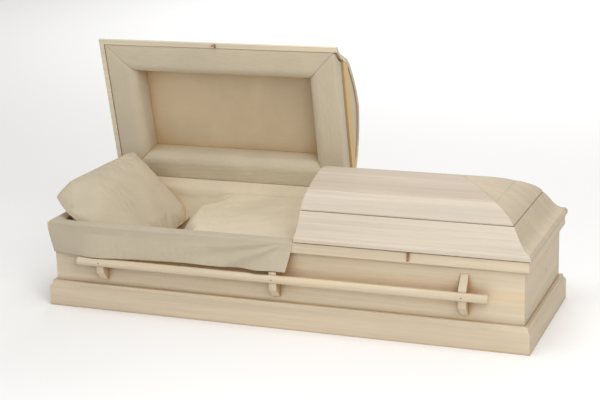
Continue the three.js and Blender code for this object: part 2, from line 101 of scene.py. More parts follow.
class CasketWoodSettings(bpy.types.PropertyGroup):
    board: colour_setting("Boards", "Colour of the side boards", (0.68, 0.575, 0.425))
    crown: colour_setting("Crown", "Colour of the crown's lower and upper boards", (0.635, 0.566, 0.46))
    crest: colour_setting("Crest", "Colour of the boards along the crest", (0.56, 0.475, 0.385))
    ends: colour_setting("Ends", "Colour of the boards across the head and foot", (0.605, 0.51, 0.37))
    raw: colour_setting("Raw slat", "Colour of the sawn slat in the head lid", (0.70, 0.50, 0.24))
    # painted light: the rim boards are a lighter copy of the board colour, standing in for light on their
    # down-facing edges
    rim: colour_setting("Rim", "Colour of the lower boards that edge the head lid", (0.73, 0.645, 0.495))
    streak: colour_setting("Streaks", "Colour of the resin streaks in the grain", (0.76, 0.52, 0.26))
    edge_round: length_setting("Edge round", "Radius sanded onto the board edges", 0.0009, 0.0001, 0.004)


class CasketClothSettings(bpy.types.PropertyGroup):
    muslin: colour_setting("Muslin", "Colour of the unbleached muslin", (0.61, 0.535, 0.40))
    panel: colour_setting("Lid panel", "Colour of the cloth on the lid's centre panel", (0.635, 0.515, 0.35))
    weave_pitch: length_setting("Weave pitch", "Distance between threads", 0.0011, 0.0003, 0.004)
    thickness: length_setting("Cloth thickness", "Thickness of the muslin sheets", 0.0009, 0.0003, 0.003)
    inflate_frames: IntProperty(
        name="Pillow steps", description="Simulation steps that blow up the pillow",
        default=34, min=5, max=80,
    )
    inflate_pressure: FloatProperty(
        name="Pillow pressure", description="Air pressure that fills the pillow",
        default=5.0, min=0.5, max=20,
    )


class CasketStageSettings(bpy.types.PropertyGroup):
    floor: colour_setting("Floor", "Colour of the floor", (0.95, 0.95, 0.95))
    ambient: FloatProperty(
        name="Ambient", description="Strength of the white surroundings", default=0.54, min=0, max=5,
    )
    key: FloatProperty(
        name="Key light", description="Power of the large light at the front right", subtype="POWER",
        default=78, min=0, max=2000,
    )
    focal: FloatProperty(
        name="Focal length", description="Focal length of the camera", subtype="DISTANCE_CAMERA",
        default=87.684, min=20, max=300,
    )


# Places read from the frame
def node_points(node):
    return np.array([v.co for v in NODES[node].data.vertices])


def closed_points(node):
    """Points of a head lid node, with the lid turned shut."""
    return np.array([CLOSE_LID @ v.co for v in NODES[node].data.vertices])


def closed_corners(node):
    points = closed_points(node)
    return points.min(0), points.max(0)


def opened(points):
    """Points of the shut head lid, turned to where the open lid holds them."""
    turn = np.array(OPEN_LID)
    return points @ turn[:3, :3].T + turn[:3, 3]


# Shapes worked out with arrays of points
def eased(value, low=0.0, high=1.0):
    share = np.clip((np.asarray(value, float) - low) / (high - low), 0, 1)
    return share * share * (3 - 2 * share)


def bell(value, middle, width):
    return np.exp(-(((np.asarray(value, float) - middle) / width) ** 2))


def ripple(points, length, seed, stretch=(1, 1, 1)):
    """Smooth unevenness from about -1 to 1, with waves about that long."""
    random = np.random.default_rng(seed)
    count = 9
    ways = random.normal(size=(count, 3)) / np.array(stretch)
    ways /= np.linalg.norm(ways * np.array(stretch), axis=1, keepdims=True)
    sizes = length * random.uniform(0.6, 1.7, count)
    phases = random.uniform(0, 2 * math.pi, count)
    angles = 2 * math.pi * (points @ ways.T) / sizes + phases
    return np.sin(angles).sum(axis=-1) / 2.6


def rounded(points, steps=3):
    """A line of points with its inner corners cut again and again, so that it bends softly."""
    line = np.array(points, float)
    for _ in range(steps):
        first = line[:-1] * 0.75 + line[1:] * 0.25
        second = line[:-1] * 0.25 + line[1:] * 0.75
        middle = np.stack([first, second], 1).reshape(-1, line.shape[1])
        line = np.vstack([line[:1], middle, line[-1:]])
    return line


def spaced(line, count):
    """The same line with that many points, evenly spaced along it."""
    steps = np.linalg.norm(np.diff(line, axis=0), axis=1)
    run = np.concatenate([[0], np.cumsum(steps)])
    at = np.linspace(0, run[-1], count)
    return np.stack([np.interp(at, run, line[:, k]) for k in range(line.shape[1])], 1)


def level_grid(xs, ys):
    """Rows and columns of points at height 0, a row for each x and a column for each y."""
    grid = np.zeros((len(xs), len(ys), 3))
    grid[..., 0] = xs[:, None]
    grid[..., 1] = ys[None, :]
    return grid


def new_object(name, data):
    """An object in the scene that holds this mesh, lamp or camera."""
    piece = bpy.data.objects.new(name, data)
    bpy.context.scene.collection.objects.link(piece)
    return piece


def grid_object(name, grid, ring=False, caps=False):
    """A mesh object from rows and columns of points; a ring closes each row on itself."""
    rows, columns = grid.shape[:2]
    index = np.arange(rows * columns).reshape(rows, columns)
    after = np.roll(index, -1, axis=1) if ring else index[:, 1:]
    before = index if ring else index[:, :-1]
    faces = np.stack([before[:-1], after[:-1], after[1:], before[1:]], -1).reshape(-1, 4).tolist()
    if caps:
        faces += [index[0][::-1].tolist(), index[-1].tolist()]
    mesh = bpy.data.meshes.new(name)
    mesh.from_pydata(grid.reshape(-1, 3).tolist(), [], faces)
    face_outwards(mesh)
    return new_object(name, mesh)


def face_outwards(mesh):
    work = bmesh.new()
    work.from_mesh(mesh)
    bmesh.ops.recalc_face_normals(work, faces=work.faces)
    for face in work.faces:
        face.smooth = len(face.verts) <= 4
    work.to_mesh(mesh)
    work.free()
    mesh.update()


def joined_piece(name, pieces):
    """One object made of several, with the shared seams merged."""
    work = bmesh.new()
    for piece in pieces:
        work.from_mesh(piece.data)
        bpy.data.objects.remove(piece)
    bmesh.ops.remove_doubles(work, verts=work.verts, dist=1e-5)
    bmesh.ops.recalc_face_normals(work, faces=work.faces)
    mesh = bpy.data.meshes.new(name)
    work.to_mesh(mesh)
    work.free()
    mesh.polygons.foreach_set("use_smooth", [True] * len(mesh.polygons))
    return new_object(name, mesh)


def thicken(piece, thickness):
    solidify = piece.modifiers.new("Cloth thickness", "SOLIDIFY")
    solidify.thickness = thickness
    solidify.offset = 0
    return piece


def finish_in(piece, material):
    piece.data.materials.clear()
    piece.data.materials.append(material)


def dress(piece, body, slot, material, *nodes):
    """Gives a new piece its finish and its body, and hides the CAD nodes that it stands for; its slot is not
    used.
    """
    finish_in(piece, material)
    if body:
        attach(piece, body)
    if nodes:
        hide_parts(*nodes)


# Node trees of the materials
def new_tree(name):
    material = bpy.data.materials.new(name)
    material.use_nodes = True
    tree = material.node_tree
    return material, tree, tree.nodes["Principled BSDF"]


def feed(tree, socket, value):
    """Sets a socket to a value, or links it to another node's output."""
    if isinstance(value, bpy.types.NodeSocket):
        tree.links.new(value, socket)
    else:
        socket.default_value = value


def place_texture(tree, scale, axes=None, shift=(0, 0, 0)):
    """Object coordinates along turned axes, scaled, so that grain runs the way the board does."""
    where = tree.nodes.new("ShaderNodeTexCoord")
    turn = tree.nodes.new("ShaderNodeMapping")
    turn.vector_type = "TEXTURE"
    turn.inputs["Rotation"].default_value = (axes or Matrix.Identity(3)).to_euler()
    turn.inputs["Location"].default_value = shift
    tree.links.new(where.outputs["Object"], turn.inputs["Vector"])
    grow = tree.nodes.new("ShaderNodeMapping")
    grow.inputs["Scale"].default_value = scale
    tree.links.new(turn.outputs["Vector"], grow.inputs["Vector"])
    return grow.outputs["Vector"]


def noise(tree, vector, scale, detail=2.0, roughness=0.5, distortion=0.0):
    node = tree.nodes.new("ShaderNodeTexNoise")
    node.inputs["Scale"].default_value = scale
    node.inputs["Detail"].default_value = detail
    node.inputs["Roughness"].default_value = roughness
    node.inputs["Distortion"].default_value = distortion
    tree.links.new(vector, node.inputs["Vector"])
    return node.outputs["Fac"]


def spread(tree, value, low, high, to_low=0.0, to_high=1.0):
    node = tree.nodes.new("ShaderNodeMapRange")
    node.interpolation_type = "SMOOTHSTEP"
    for name, number in (("From Min", low), ("From Max", high), ("To Min", to_low), ("To Max", to_high)):
        node.inputs[name].default_value = number
    tree.links.new(value, node.inputs["Value"])
    return node.outputs["Result"]


def math_node(tree, operation, a, b):
    node = tree.nodes.new("ShaderNodeMath")
    node.operation = operation
    feed(tree, node.inputs[0], a)
    feed(tree, node.inputs[1], b)
    return node.outputs[0]


def mix_colour(tree, factor, a, b, blend="MIX"):
    node = tree.nodes.new("ShaderNodeMix")
    node.data_type = "RGBA"
    node.blend_type = blend
    feed(tree, node.inputs["Factor"], factor)
    colours = [socket for socket in node.inputs if socket.type == "RGBA"]
    for socket, value in zip(colours, (a, b)):
        feed(tree, socket, value)
    return next(socket for socket in node.outputs if socket.type == "RGBA")


def bump(tree, shader, height, strength, distance):
    node = tree.nodes.new("ShaderNodeBump")
    node.inputs["Strength"].default_value = strength
    node.inputs["Distance"].default_value = distance
    tree.links.new(height, node.inputs["Height"])
    tree.links.new(node.outputs["Normal"], shader.inputs["Normal"])


# Painted shade in corners and crevices: share of open air at which a surface starts to darken and is
# darkest, and what it darkens to
SHADE_OPEN_AIR = (0.28, 0.80)
WOOD_PAINTED_SHADE = (0.66, 0.47, 0.27)
WOOD_SHADE_REACH = 0.11
WOOD_SHADE_REACH_AT_FLOOR = 0.02
CLOTH_PAINTED_SHADE = (0.93, 0.80, 0.62)
CLOTH_SHADE_REACH = 0.12


def painted_crevice_shade(tree, colour, reach, shade_tint):
    """The colour, warmed and darkened as painted shade where little light gets in between parts."""
    open_air = tree.nodes.new("ShaderNodeAmbientOcclusion")
    open_air.samples = 8
    open_air.inputs["Distance"].default_value = reach
    deep = mix_colour(tree, 1.0, colour, (*shade_tint, 1.0), "MULTIPLY")
    return mix_colour(tree, spread(tree, open_air.outputs["AO"], *SHADE_OPEN_AIR), deep, colour)


def shaded(colour, by):
    return (*[min(1.0, channel * by) for channel in colour], 1.0)


def knotted(tree, colour, centre, size):
    """The colour with one small dark knot."""
    where = tree.nodes.new("ShaderNodeTexCoord")
    away = tree.nodes.new("ShaderNodeVectorMath")
    away.operation = "DISTANCE"
    away.inputs[1].default_value = centre
    tree.links.new(where.outputs["Object"], away.inputs[0])
    dark = spread(tree, away.outputs["Value"], 0.2 * size, size, 0.7, 0.0)
    return mix_colour(tree, dark, colour, (0.36, 0.21, 0.09, 1.0))


END_KNOT = (1.0268, 0.06, 0.214)
END_KNOT_SIZE = 0.013


def wood_material(name, colour, axes, seed, streaks=0.3):
    """Bare sanded softwood: soft growth bands, fine grain lines, pores and resin streaks, with painted shade
    in crevices.
    """
    material, tree, shader = new_tree(name)
    wood = bpy.context.scene.casket_wood
    shift = (seed * 0.37, seed * 0.53, seed * 0.71)
    bands = noise(tree, place_texture(tree, (0.55, 9, 9), axes, shift), 1.6, 3.0, 0.55, 0.35)
    lines = noise(tree, place_texture(tree, (1.1, 70, 70), axes, shift), 1.0, 4.0, 0.62, 0.1)
    pores = noise(tree, place_texture(tree, (9, 420, 420), axes, shift), 1.0, 2.0, 0.6)
    patch = noise(tree, place_texture(tree, (0.5, 5, 5), axes, shift), 1.3, 2.0, 0.5, 0.8)
    base = mix_colour(tree, spread(tree, bands, 0.30, 0.70), shaded(colour, 0.93), shaded(colour, 1.05))
    grain = mix_colour(tree, spread(tree, lines, 0.36, 0.62, 0.42, 0.0), base, shaded(colour, 0.80))
    resin = math_node(tree, "MULTIPLY", spread(tree, patch, 0.52, 0.72), spread(tree, lines, 0.42, 0.60))
    stained = mix_colour(tree, math_node(tree, "MULTIPLY", resin, streaks), grain, (*wood.streak, 1.0))
    pored = mix_colour(tree, spread(tree, pores, 0.30, 0.42, 0.30, 0.0), stained, shaded(colour, 0.66))
    if name.endswith("end_walls"):
        pored = knotted(tree, pored, END_KNOT, END_KNOT_SIZE)
    reach = WOOD_SHADE_REACH_AT_FLOOR if name.endswith(("plinths", "end_trims")) else WOOD_SHADE_REACH
    # painted shade: the wood darkens and warms where parts crowd it, with a short reach on the plinths and
    # end trims so the floor doesn't darken them
    tree.links.new(painted_crevice_shade(tree, pored, reach, WOOD_PAINTED_SHADE), shader.inputs["Base Color"])
    tree.links.new(spread(tree, lines, 0.3, 0.7, 0.50, 0.66), shader.inputs["Roughness"])
    shader.inputs["Specular IOR Level"].default_value = 0.32
    bump(tree, shader, math_node(tree, "ADD", lines, pores), 0.22, 0.0004)
    return material


def cloth_material(name, colour, seed, mottle=0.05):
    """Plain weave: threads both ways, slubs along them, and soft changes of tone, with painted shade in
    crevices.
    """
    material, tree, shader = new_tree(name)
    cloth = bpy.context.scene.casket_cloth
    plain = place_texture(tree, (1, 1, 1), None, (seed, seed * 0.4, seed * 0.7))
    threads = []
    for direction in ("X", "Y", "Z"):
        wave = tree.nodes.new("ShaderNodeTexWave")
        wave.bands_direction = direction
        wave.inputs["Scale"].default_value = 2 * math.pi / (20 * cloth.weave_pitch)
        wave.inputs["Distortion"].default_value = 0.4
        tree.links.new(plain, wave.inputs["Vector"])
        threads.append(wave.outputs["Fac"])
    weave = math_node(tree, "ADD", math_node(tree, "ADD", threads[0], threads[1]), threads[2])
    slubs = noise(tree, place_texture(tree, (14, 260, 260), None, (seed, 0, 0)), 1.0, 3.0, 0.6)
    tone = noise(tree, plain, 3.5, 3.0, 0.55, 0.4)
    light, dim = shaded(colour, 1 + mottle), shaded(colour, 1 - mottle)
    base = mix_colour(tree, spread(tree, tone, 0.3, 0.7), dim, light)
    dark = spread(tree, weave, 0.6, 2.2, 0.22, 0.0)
    woven = mix_colour(tree, dark, base, shaded(colour, 0.74))
    flecked = mix_colour(tree, spread(tree, slubs, 0.60, 0.74, 0.0, 0.28), woven, shaded(colour, 1.22))
    # painted shade: the cloth darkens and warms in crevices and under other parts
    tree.links.new(painted_crevice_shade(tree, flecked, CLOTH_SHADE_REACH, CLOTH_PAINTED_SHADE), shader.inputs["Base Color"])
    tree.links.new(spread(tree, slubs, 0.3, 0.7, 0.86, 0.96), shader.inputs["Roughness"])
    shader.inputs["Specular IOR Level"].default_value = 0.18
    shader.inputs["Sheen Weight"].default_value = 0.18
    shader.inputs["Sheen Roughness"].default_value = 0.5
    bump(tree, shader, math_node(tree, "ADD", weave, math_node(tree, "MULTIPLY", slubs, 2.0)), 0.25, 0.00035)
    return material


def leather_material():
    material, tree, shader = new_tree("pull_tab_leather")
    plain = place_texture(tree, (1, 1, 1))
    cells = tree.nodes.new("ShaderNodeTexVoronoi")
    cells.inputs["Scale"].default_value = 900
    tree.links.new(plain, cells.inputs["Vector"])
    tone = noise(tree, plain, 60, 3.0)
    worn = mix_colour(tree, spread(tree, tone, 0.35, 0.7), (0.16, 0.075, 0.03, 1), (0.42, 0.23, 0.13, 1))
    tree.links.new(worn, shader.inputs["Base Color"])
    tree.links.new(spread(tree, tone, 0.3, 0.7, 0.5, 0.7), shader.inputs["Roughness"])
    bump(tree, shader, cells.outputs["Distance"], 0.3, 0.0003)
    return material


def steel_material(name, dark, light):
    material, tree, shader = new_tree(name)
    brushed = noise(tree, place_texture(tree, (6, 900, 900)), 1.0, 2.0)
    tone = mix_colour(tree, spread(tree, brushed, 0.3, 0.7), (*dark, 1), (*light, 1))
    tree.links.new(tone, shader.inputs["Base Color"])
    tree.links.new(spread(tree, brushed, 0.3, 0.7, 0.3, 0.46), shader.inputs["Roughness"])
    shader.inputs["Metallic"].default_value = 1.0
    bump(tree, shader, brushed, 0.1, 0.0002)
    return material


# Grain directions: the first column is the way the grain runs
def grain_axes(along, across):
    first = Vector(along).normalized()
    third = first.cross(Vector(across)).normalized()
    second = third.cross(first)
    return Matrix((first, second, third)).transposed()


def lid_turned(vector):
    return OPEN_LID.to_3x3() @ Vector(vector)


def soften_board(board, radius):
    """Merges a board's faces, rounds its edges and lets its curved faces shade smoothly."""
    mesh = board.data
    for name in ("custom_normal", "sharp_edge", "sharp_face"):
        if name in mesh.attributes:
            mesh.attributes.remove(mesh.attributes[name])
    mesh.polygons.foreach_set("use_smooth", [True] * len(mesh.polygons))
    weld = board.modifiers.new("Weld", "WELD")
    weld.merge_threshold = 1e-5
    edge = board.modifiers.new("Sanded edges", "BEVEL")
    edge.width = radius
    edge.segments = 2
    edge.limit_method = "ANGLE"
    edge.angle_limit = math.radians(33)
    edge.harden_normals = True


HIP_SLOPE = math.radians(38)
SHARPER_HIPS = 0.3
# painted shade: the hip boards at the foot take a darker copy of the end boards' colour
FOOT_HIP_PAINTED_SHADE = 0.9


class CASKET_OT_boards(bpy.types.Operator):
    """Finish every board of the case and the lids as bare sanded softwood"""

    bl_idname = "casket.boards"
    bl_label = "Boards"

    def execute(self, context):
        wood = context.scene.casket_wood
        along_case = grain_axes((1, 0, 0), (0, 1, 0))
        across_case = grain_axes((0, 1, 0), (1, 0, 0))
        upright = grain_axes((0, 0, 1), (1, 0, 0))
        run, rise = math.cos(HIP_SLOPE), math.sin(HIP_SLOPE)
        up_foot = grain_axes((-run, 0, rise), (0, 1, 0))
        up_head = grain_axes(lid_turned((run, 0, rise)), lid_turned((0, 1, 0)))
        across_lid = grain_axes(lid_turned((0, 1, 0)), (1, 0, 0))
        kinds = {
            "walls": (wood.board, along_case, 1.0, 0.75),
            "plinths": (wood.board, along_case, 2.3, 0.6),
            "ledges": (wood.board, along_case, 3.1, 0.25),
            "handles": (wood.board, along_case, 4.7, 0.35),
            "arms": (wood.board, upright, 5.2, 0.2),
            "end_walls": (wood.ends, across_case, 6.4, 0.9),
            "end_trims": (wood.ends, across_case, 7.9, 0.8),
            "crown_lower": (wood.crown, along_case, 8.3, 0.25),
            "crown_upper": (wood.crown, along_case, 9.6, 0.1),
            "crest": (wood.crest, along_case, 10.2, 0.05),
            # painted shade on the foot hips
            "foot_hips": (shaded(wood.ends, FOOT_HIP_PAINTED_SHADE)[:3], up_foot, 11.5, 0.1),
            "head_hips": (wood.ends, up_head, 12.8, 0.1),
            "lid_ends": (wood.ends, across_lid, 13.3, 0.1),
            "foot_header": (wood.ends, across_case, 14.1, 0.1),
            "raw": (wood.raw, across_lid, 15.7, 0.5),
            # painted light on the head lid's rim boards
            "lid_rims_painted_light": (wood.rim, along_case, 16.2, 0.3),
        }
        materials = {
            kind: wood_material(f"softwood_{kind}", colour, axes, seed, streaks)
            for kind, (colour, axes, seed, streaks) in kinds.items()
        }
        for name, board in NODES.items():
            kind = board_kind(name)
            if kind:
                finish_in(board, materials[kind])
                soften_board(board, wood.edge_round * (SHARPER_HIPS if kind == "foot_hips" else 1.0))
        return {"FINISHED"}


def board_kind(node):
    """Which wood finish a CAD node takes, or None where it isn't a wood piece."""
    exact = {
        "bottom_board": "walls", "head_lid_front_lower": "lid_rims_painted_light", "head_lid_end_lower": "lid_rims_painted_light",
        "head_lid_header": "lid_ends", "foot_lid_header": "foot_header", "head_lid_slat": "raw",
        "head_lid_top": "crest", "foot_lid_top": "crest",
    }
    if node in exact:
        return exact[node]
    if "_lid_" in node and "_end_" in node and node.rsplit("_", 1)[1] in ("lower", "upper", "top"):
        return "foot_hips" if node.startswith("foot") else "head_hips"
    starts = {
        "side_panel": "walls", "end_panel": "end_walls", "handle_bar": "handles", "handle_arm": "arms",
    }
    for start, kind in starts.items():
        if node.startswith(start):
            return kind
    if node.startswith(("plinth_", "ledge_")):
        side_kind = "plinths" if node.startswith("plinth") else "ledges"
        return "end_trims" if node.endswith(("head", "foot")) else side_kind
    if node.endswith("_lower"):
        return "crown_lower"
    return "crown_upper" if node.endswith("_upper") else None


# Bed and wall lining
def bed_outline():
    """The bed's ends, the ramp between its low and high part, and both heights."""
    points = node_points("bed_pad")
    stops = sorted(set(np.round(points[:, 0], 4)))
    low = points[np.isclose(points[:, 0], stops[1], atol=1e-3), 2].max()
    high = points[np.isclose(points[:, 0], stops[2], atol=1e-3), 2].max()
    return stops, low, high


BED_GAP = 0.0006
BED_CROWN = 0.013
BED_BACK_SWEEP = 0.10
BED_BROW_SETBACK = 0.022
BED_BROW_SWEEP = 0.052
BED_RAMP = 0.13
BED_PUFF = 0.007
BED_SOFT_RIM = 0.05
BED_FRONT_DROP = 0.010


def bed_height(x, y):
    """Top of the stuffed bed: low under the pillow, then a rounded brow, swept up at the back."""
    stops, low, high = bed_outline()
    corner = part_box("bed_pad")[1]
    x, y = np.asarray(x, float), np.asarray(y, float)
    brow_x = stops[2] - BED_BROW_SETBACK + BED_BROW_SWEEP * np.minimum(((y - 0.07) / 0.2) ** 2, 1.9)
    rise = eased(x, brow_x - BED_RAMP, brow_x + 0.012)
    puff = BED_PUFF * bell(x, brow_x + 0.028, 0.045)
    crown = BED_CROWN * (1 - np.clip(np.abs(y) / corner.y, 0, 1) ** 6)
    top = low + (high - low) * rise + (crown + puff) * (0.3 + 0.7 * rise)
    back = np.clip((y - corner.y + BED_BACK_SWEEP) / BED_BACK_SWEEP, 0, 1) ** 2.2
    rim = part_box("lining_back")[1].z - 0.001
    return top + (rim - top) * back


class CASKET_OT_bed(bpy.types.Operator):
    """Stuff the bed: a crowned cloth top with soft wrinkles over a plain body"""

    bl_idname = "casket.bed"
    bl_label = "Bed"

    def execute(self, context):
        low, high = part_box("bed_pad")
        xs = np.linspace(low.x + BED_GAP, high.x - BED_GAP, 210)
        across = 0.5 - 0.5 * np.cos(np.linspace(0, 1, 74) * math.pi)
        ys = low.y + BED_GAP + (high.y - low.y - 2 * BED_GAP) * across
        grid = level_grid(xs, ys)
        grid[..., 2] = bed_height(grid[..., 0], grid[..., 1])
        rim = np.minimum(
            np.minimum(grid[..., 1] - low.y, high.y - grid[..., 1]),
            np.minimum(grid[..., 0] - low.x, high.x - grid[..., 0]),
        )
        soft = eased(rim, 0.0, BED_SOFT_RIM)
        wrinkles = 0.0026 * ripple(grid, 0.17, 5) + 0.0011 * ripple(grid, 0.055, 6, (1.0, 2.6, 1.0))
        front = 1 - eased(grid[..., 1] - low.y, 0.0, 0.02)
        grid[..., 2] += soft * (wrinkles + bed_folds(grid)) - BED_FRONT_DROP * front
        bed = grid_object("stuffed_bed", ring_of_rows(grid, low.z), ring=True, caps=True)
        dress(bed, "case", "muslin", bpy.data.materials["muslin_bed"], "bed_pad")
        return {"FINISHED"}


# Each ridge of loose cloth: places along y, its x at each of them, its height and its width
BED_RIDGES = [
    ((-0.07, 0.04, 0.15, 0.22), (-0.470, -0.500, -0.522, -0.530), 0.0050, 0.011),
    ((-0.05, 0.08, 0.17, 0.21), (-0.439, -0.436, -0.408, -0.365), 0.0065, 0.014),
    ((-0.06, 0.06, 0.20, 0.24), (-0.150, -0.135, -0.105, -0.090), 0.0050, 0.012),
]


def bed_folds(grid):
    """Ridges of the loose cloth across the bed, and slack folds along the back."""
    x, y = grid[..., 0], grid[..., 1]
    lift = 0.0016 * np.sin(x * 31 + 6 * y) * bell(y, 0.2, 0.06)
    for places, xs, height, width in BED_RIDGES:
        fade = eased(y, places[0] - 0.04, places[0] + 0.03)
        fade = fade * (1 - eased(y, places[-1] - 0.05, places[-1] + 0.03))
        lift += height * fade * bell(x, np.interp(y, places, xs), width)
    return lift


def ring_of_rows(grid, floor):
    """Each row of a top surface closed through two points on the floor."""
    first, last = grid[:, :1].copy(), grid[:, -1:].copy()
    first[..., 2] = last[..., 2] = floor
    return np.concatenate([first, grid, last], axis=1)


LINING_GAP = 0.0004
LINING_SWELL = 0.0009


class CASKET_OT_linings(bpy.types.Operator):
    """Pad the four walls inside the case with cloth whose top edge is rounded"""

    bl_idname = "casket.linings"
    bl_label = "Wall linings"

    def execute(self, context):
        for side in ("front", "back", "head", "foot"):
            low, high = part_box(f"lining_{side}")
            across = 1 if side in ("front", "back") else 0
            along = 1 - across
            depth = (high - low)[across]
            section = rounded([
                (0.0, low.z), (0.0, high.z - 0.002), (depth * 0.5, high.z - 0.0008),
                (depth, high.z - 0.004), (depth, high.z - 0.05), (depth, low.z),
            ], 2)
            spans = np.linspace(0, 1, 120)
            grid = np.empty((len(spans), len(section), 3))
            start, stop = low[along], high[along]
            wall_low = side in ("front", "head")
            for k, (inward, height) in enumerate(section):
                length = stop - start - 2 * inward - 2 * LINING_GAP
                grid[:, k, along] = start + inward + LINING_GAP + length * spans
                grid[:, k, across] = low[across] + inward if wall_low else high[across] - inward
                grid[:, k, 2] = height
            uneven = 0.0007 * ripple(grid, 0.09, 11 + across, (1, 1, 2.5))
            face = section[:, 0] > depth * 0.9
            grid[..., across] -= (1 if wall_low else -1) * (LINING_SWELL + uneven) * face
            lining = grid_object(f"padded_lining_{side}", grid, ring=True, caps=True)
            dress(lining, "case", "muslin", bpy.data.materials["muslin_bed"], f"lining_{side}")
        return {"FINISHED"}


CURTAIN_OFF_LINING = 0.0035
CURTAIN_IN_BED = 0.004


class CASKET_OT_curtain(bpy.types.Operator):
    """Hang the cloth strip that covers the hinge, from the head lid down to the bed"""

    bl_idname = "casket.curtain"
    bl_label = "Hinge curtain"

    def execute(self, context):
        points = node_points("hinge_curtain")
        low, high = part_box("hinge_curtain")
        held = points[points[:, 2] > high.z - 0.0006][:, 1:].mean(0)
        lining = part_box("lining_back")
        knee = np.array([lining[0].y - CURTAIN_OFF_LINING, lining[1].z + CURTAIN_OFF_LINING])
        belly = (held + knee) / 2 - 0.001
        foot_y = knee[0] - 0.006
        xs = np.linspace(low.x, high.x, 190)
        rows = []
        for x in xs:
            foot_z = min(float(bed_height(x, foot_y - 0.03)), low.z) - CURTAIN_IN_BED
            line = spaced(rounded([held, belly, knee, (foot_y + 0.003, foot_z)], 3), 30)
            rows.append(np.column_stack([np.full(len(line), x), line]))
        grid = np.array(rows)
        share = np.linspace(0, 1, grid.shape[1])[None, :]
        loose = np.sin(math.pi * share) ** 1.2
        folds = 0.0022 * ripple(grid, 0.22, 21, (1, 1, 3)) + 0.0007 * ripple(grid, 0.06, 22, (1, 1, 3))
        grid[..., 1] -= loose * (0.0012 + np.abs(folds))
        grid[..., 2] += loose * (0.0010 + 0.5 * np.abs(folds))
        curtain = thicken(grid_object("hinge_cloth", grid), context.scene.casket_cloth.thickness)
        dress(curtain, None, "muslin", bpy.data.materials["muslin_bed"], "hinge_curtain")
        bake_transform(curtain)
        return {"FINISHED"}


# Sheet over the front and head ledges
THROW_LIFT = 0.0007
THROW_DROP_IN = 0.030
THROW_IN_LINING = 0.0014
THROW_END_CORNER = (0.070, 0.372)
THROW_END_SLANT = 0.026
THROW_HEM_OVER_BAR = (0.0014, 0.0162)
THROW_TUCK = 0.012
THROW_UNDER_LEDGE = 0.016
THROW_TUCKED_MOST = 0.014
THROW_HANGS = np.linspace(0, 1, 34)[1:]

# How far the hem stands out at places along x: in at the corner, out over the arms
THROW_SWAYS = {
    -1.06: -0.013, -0.98: -0.006, -0.90: 0.010, -0.82: 0.029, -0.76: 0.029, -0.64: 0.014,
    -0.42: 0.009, -0.18: 0.013, -0.05: 0.029, 0.04: 0.029, 0.10: 0.022,
}

# Folds that fan out from the corner at the split: angle below level and width in degrees, and height
THROW_RIDGES = ((7, 3.5, 0.45), (21, 5, 1.05), (42, 8, 0.7))
THROW_VALLEYS = ((13, 3, 0.75), (30, 5, 0.55), (60, 8, 0.4))


def throw_sway(x):
    """How far the hem stands out of the ledge's face, eased along the ledge."""
    places, sways = list(THROW_SWAYS), list(THROW_SWAYS.values())
    near = np.linspace(-0.03, 0.03, 7)
    return np.mean([np.interp(np.asarray(x) + step, places, sways) for step in near], axis=0)


def throw_folds(x, z):
    """Folds that fan out from the sheet's upper corner at the split."""
    corner_x, corner_z = THROW_END_CORNER
    run = np.maximum(corner_x - x, 1e-4)
    drop = np.maximum(corner_z - z, 0)
    reach = np.hypot(run, drop)
    angle = np.degrees(np.arctan2(drop, run))
    size = 0.075 * np.minimum(reach, 0.11) * (1 - eased(reach, 0.28, 0.62))
    ridges = sum(height * bell(angle, at, width) for at, width, height in THROW_RIDGES)
    valleys = sum(depth * bell(angle, at, width) for at, width, depth in THROW_VALLEYS)
    return size * (0.35 + ridges - valleys)


def throw_line():
    """The sheet's line over the ledge from inside to outside: inset from the ledge's face, and height."""
    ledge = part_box("ledge_front")
    top = ledge[1].z + THROW_LIFT
    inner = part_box("lining_front")[1].y - ledge[0].y + THROW_IN_LINING
    edge = [
        (inner, top - THROW_DROP_IN), (inner, top - 0.002), (inner - 0.004, top + 0.0001),
        (0.006, top + 0.0001), (0.0005, top), (-0.0010, top - 0.006),
    ]
    return spaced(rounded(edge, 3), 30)


def throw_places():
    """Where the sheet's two legs end, the ledges' outer faces, and the hem at the head and at the split."""
    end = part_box("throw")[1]
    bar_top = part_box("handle_bar_front")[1].z
    face_x, face_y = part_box("ledge_head")[0].x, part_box("ledge_front")[0].y
    return face_x, face_y, end.x, end.y, *[bar_top + over for over in THROW_HEM_OVER_BAR]


def throw_rows(over):
    """Each row's inset, its height on the ledge, or None where it hangs, and its share of the drop."""
    return [(*row, 0.0) for row in over] + [(over[-1, 0], None, down) for down in THROW_HANGS]


def throw_head_leg(over, columns=110):
    """Points of the sheet over the head ledge, from the hinge side to the corner."""
    face_x, face_y, _, back_y, hem, _ = throw_places()
    shares = np.linspace(0, 1, columns)
    sway = -THROW_TUCK + 0.005 * shares[::-1]
    rows = []
    for inset, height, down in throw_rows(over):
        if height is None:
            height = over[-1, 1] + (hem - over[-1, 1]) * down
        inset = inset - sway * eased(down, 0.34, 1.0)
        y = back_y + (face_y + inset - back_y) * shares
        rows.append(np.stack([face_x + inset, y, np.full(columns, height)], 1))
    return np.stack(rows, 1)


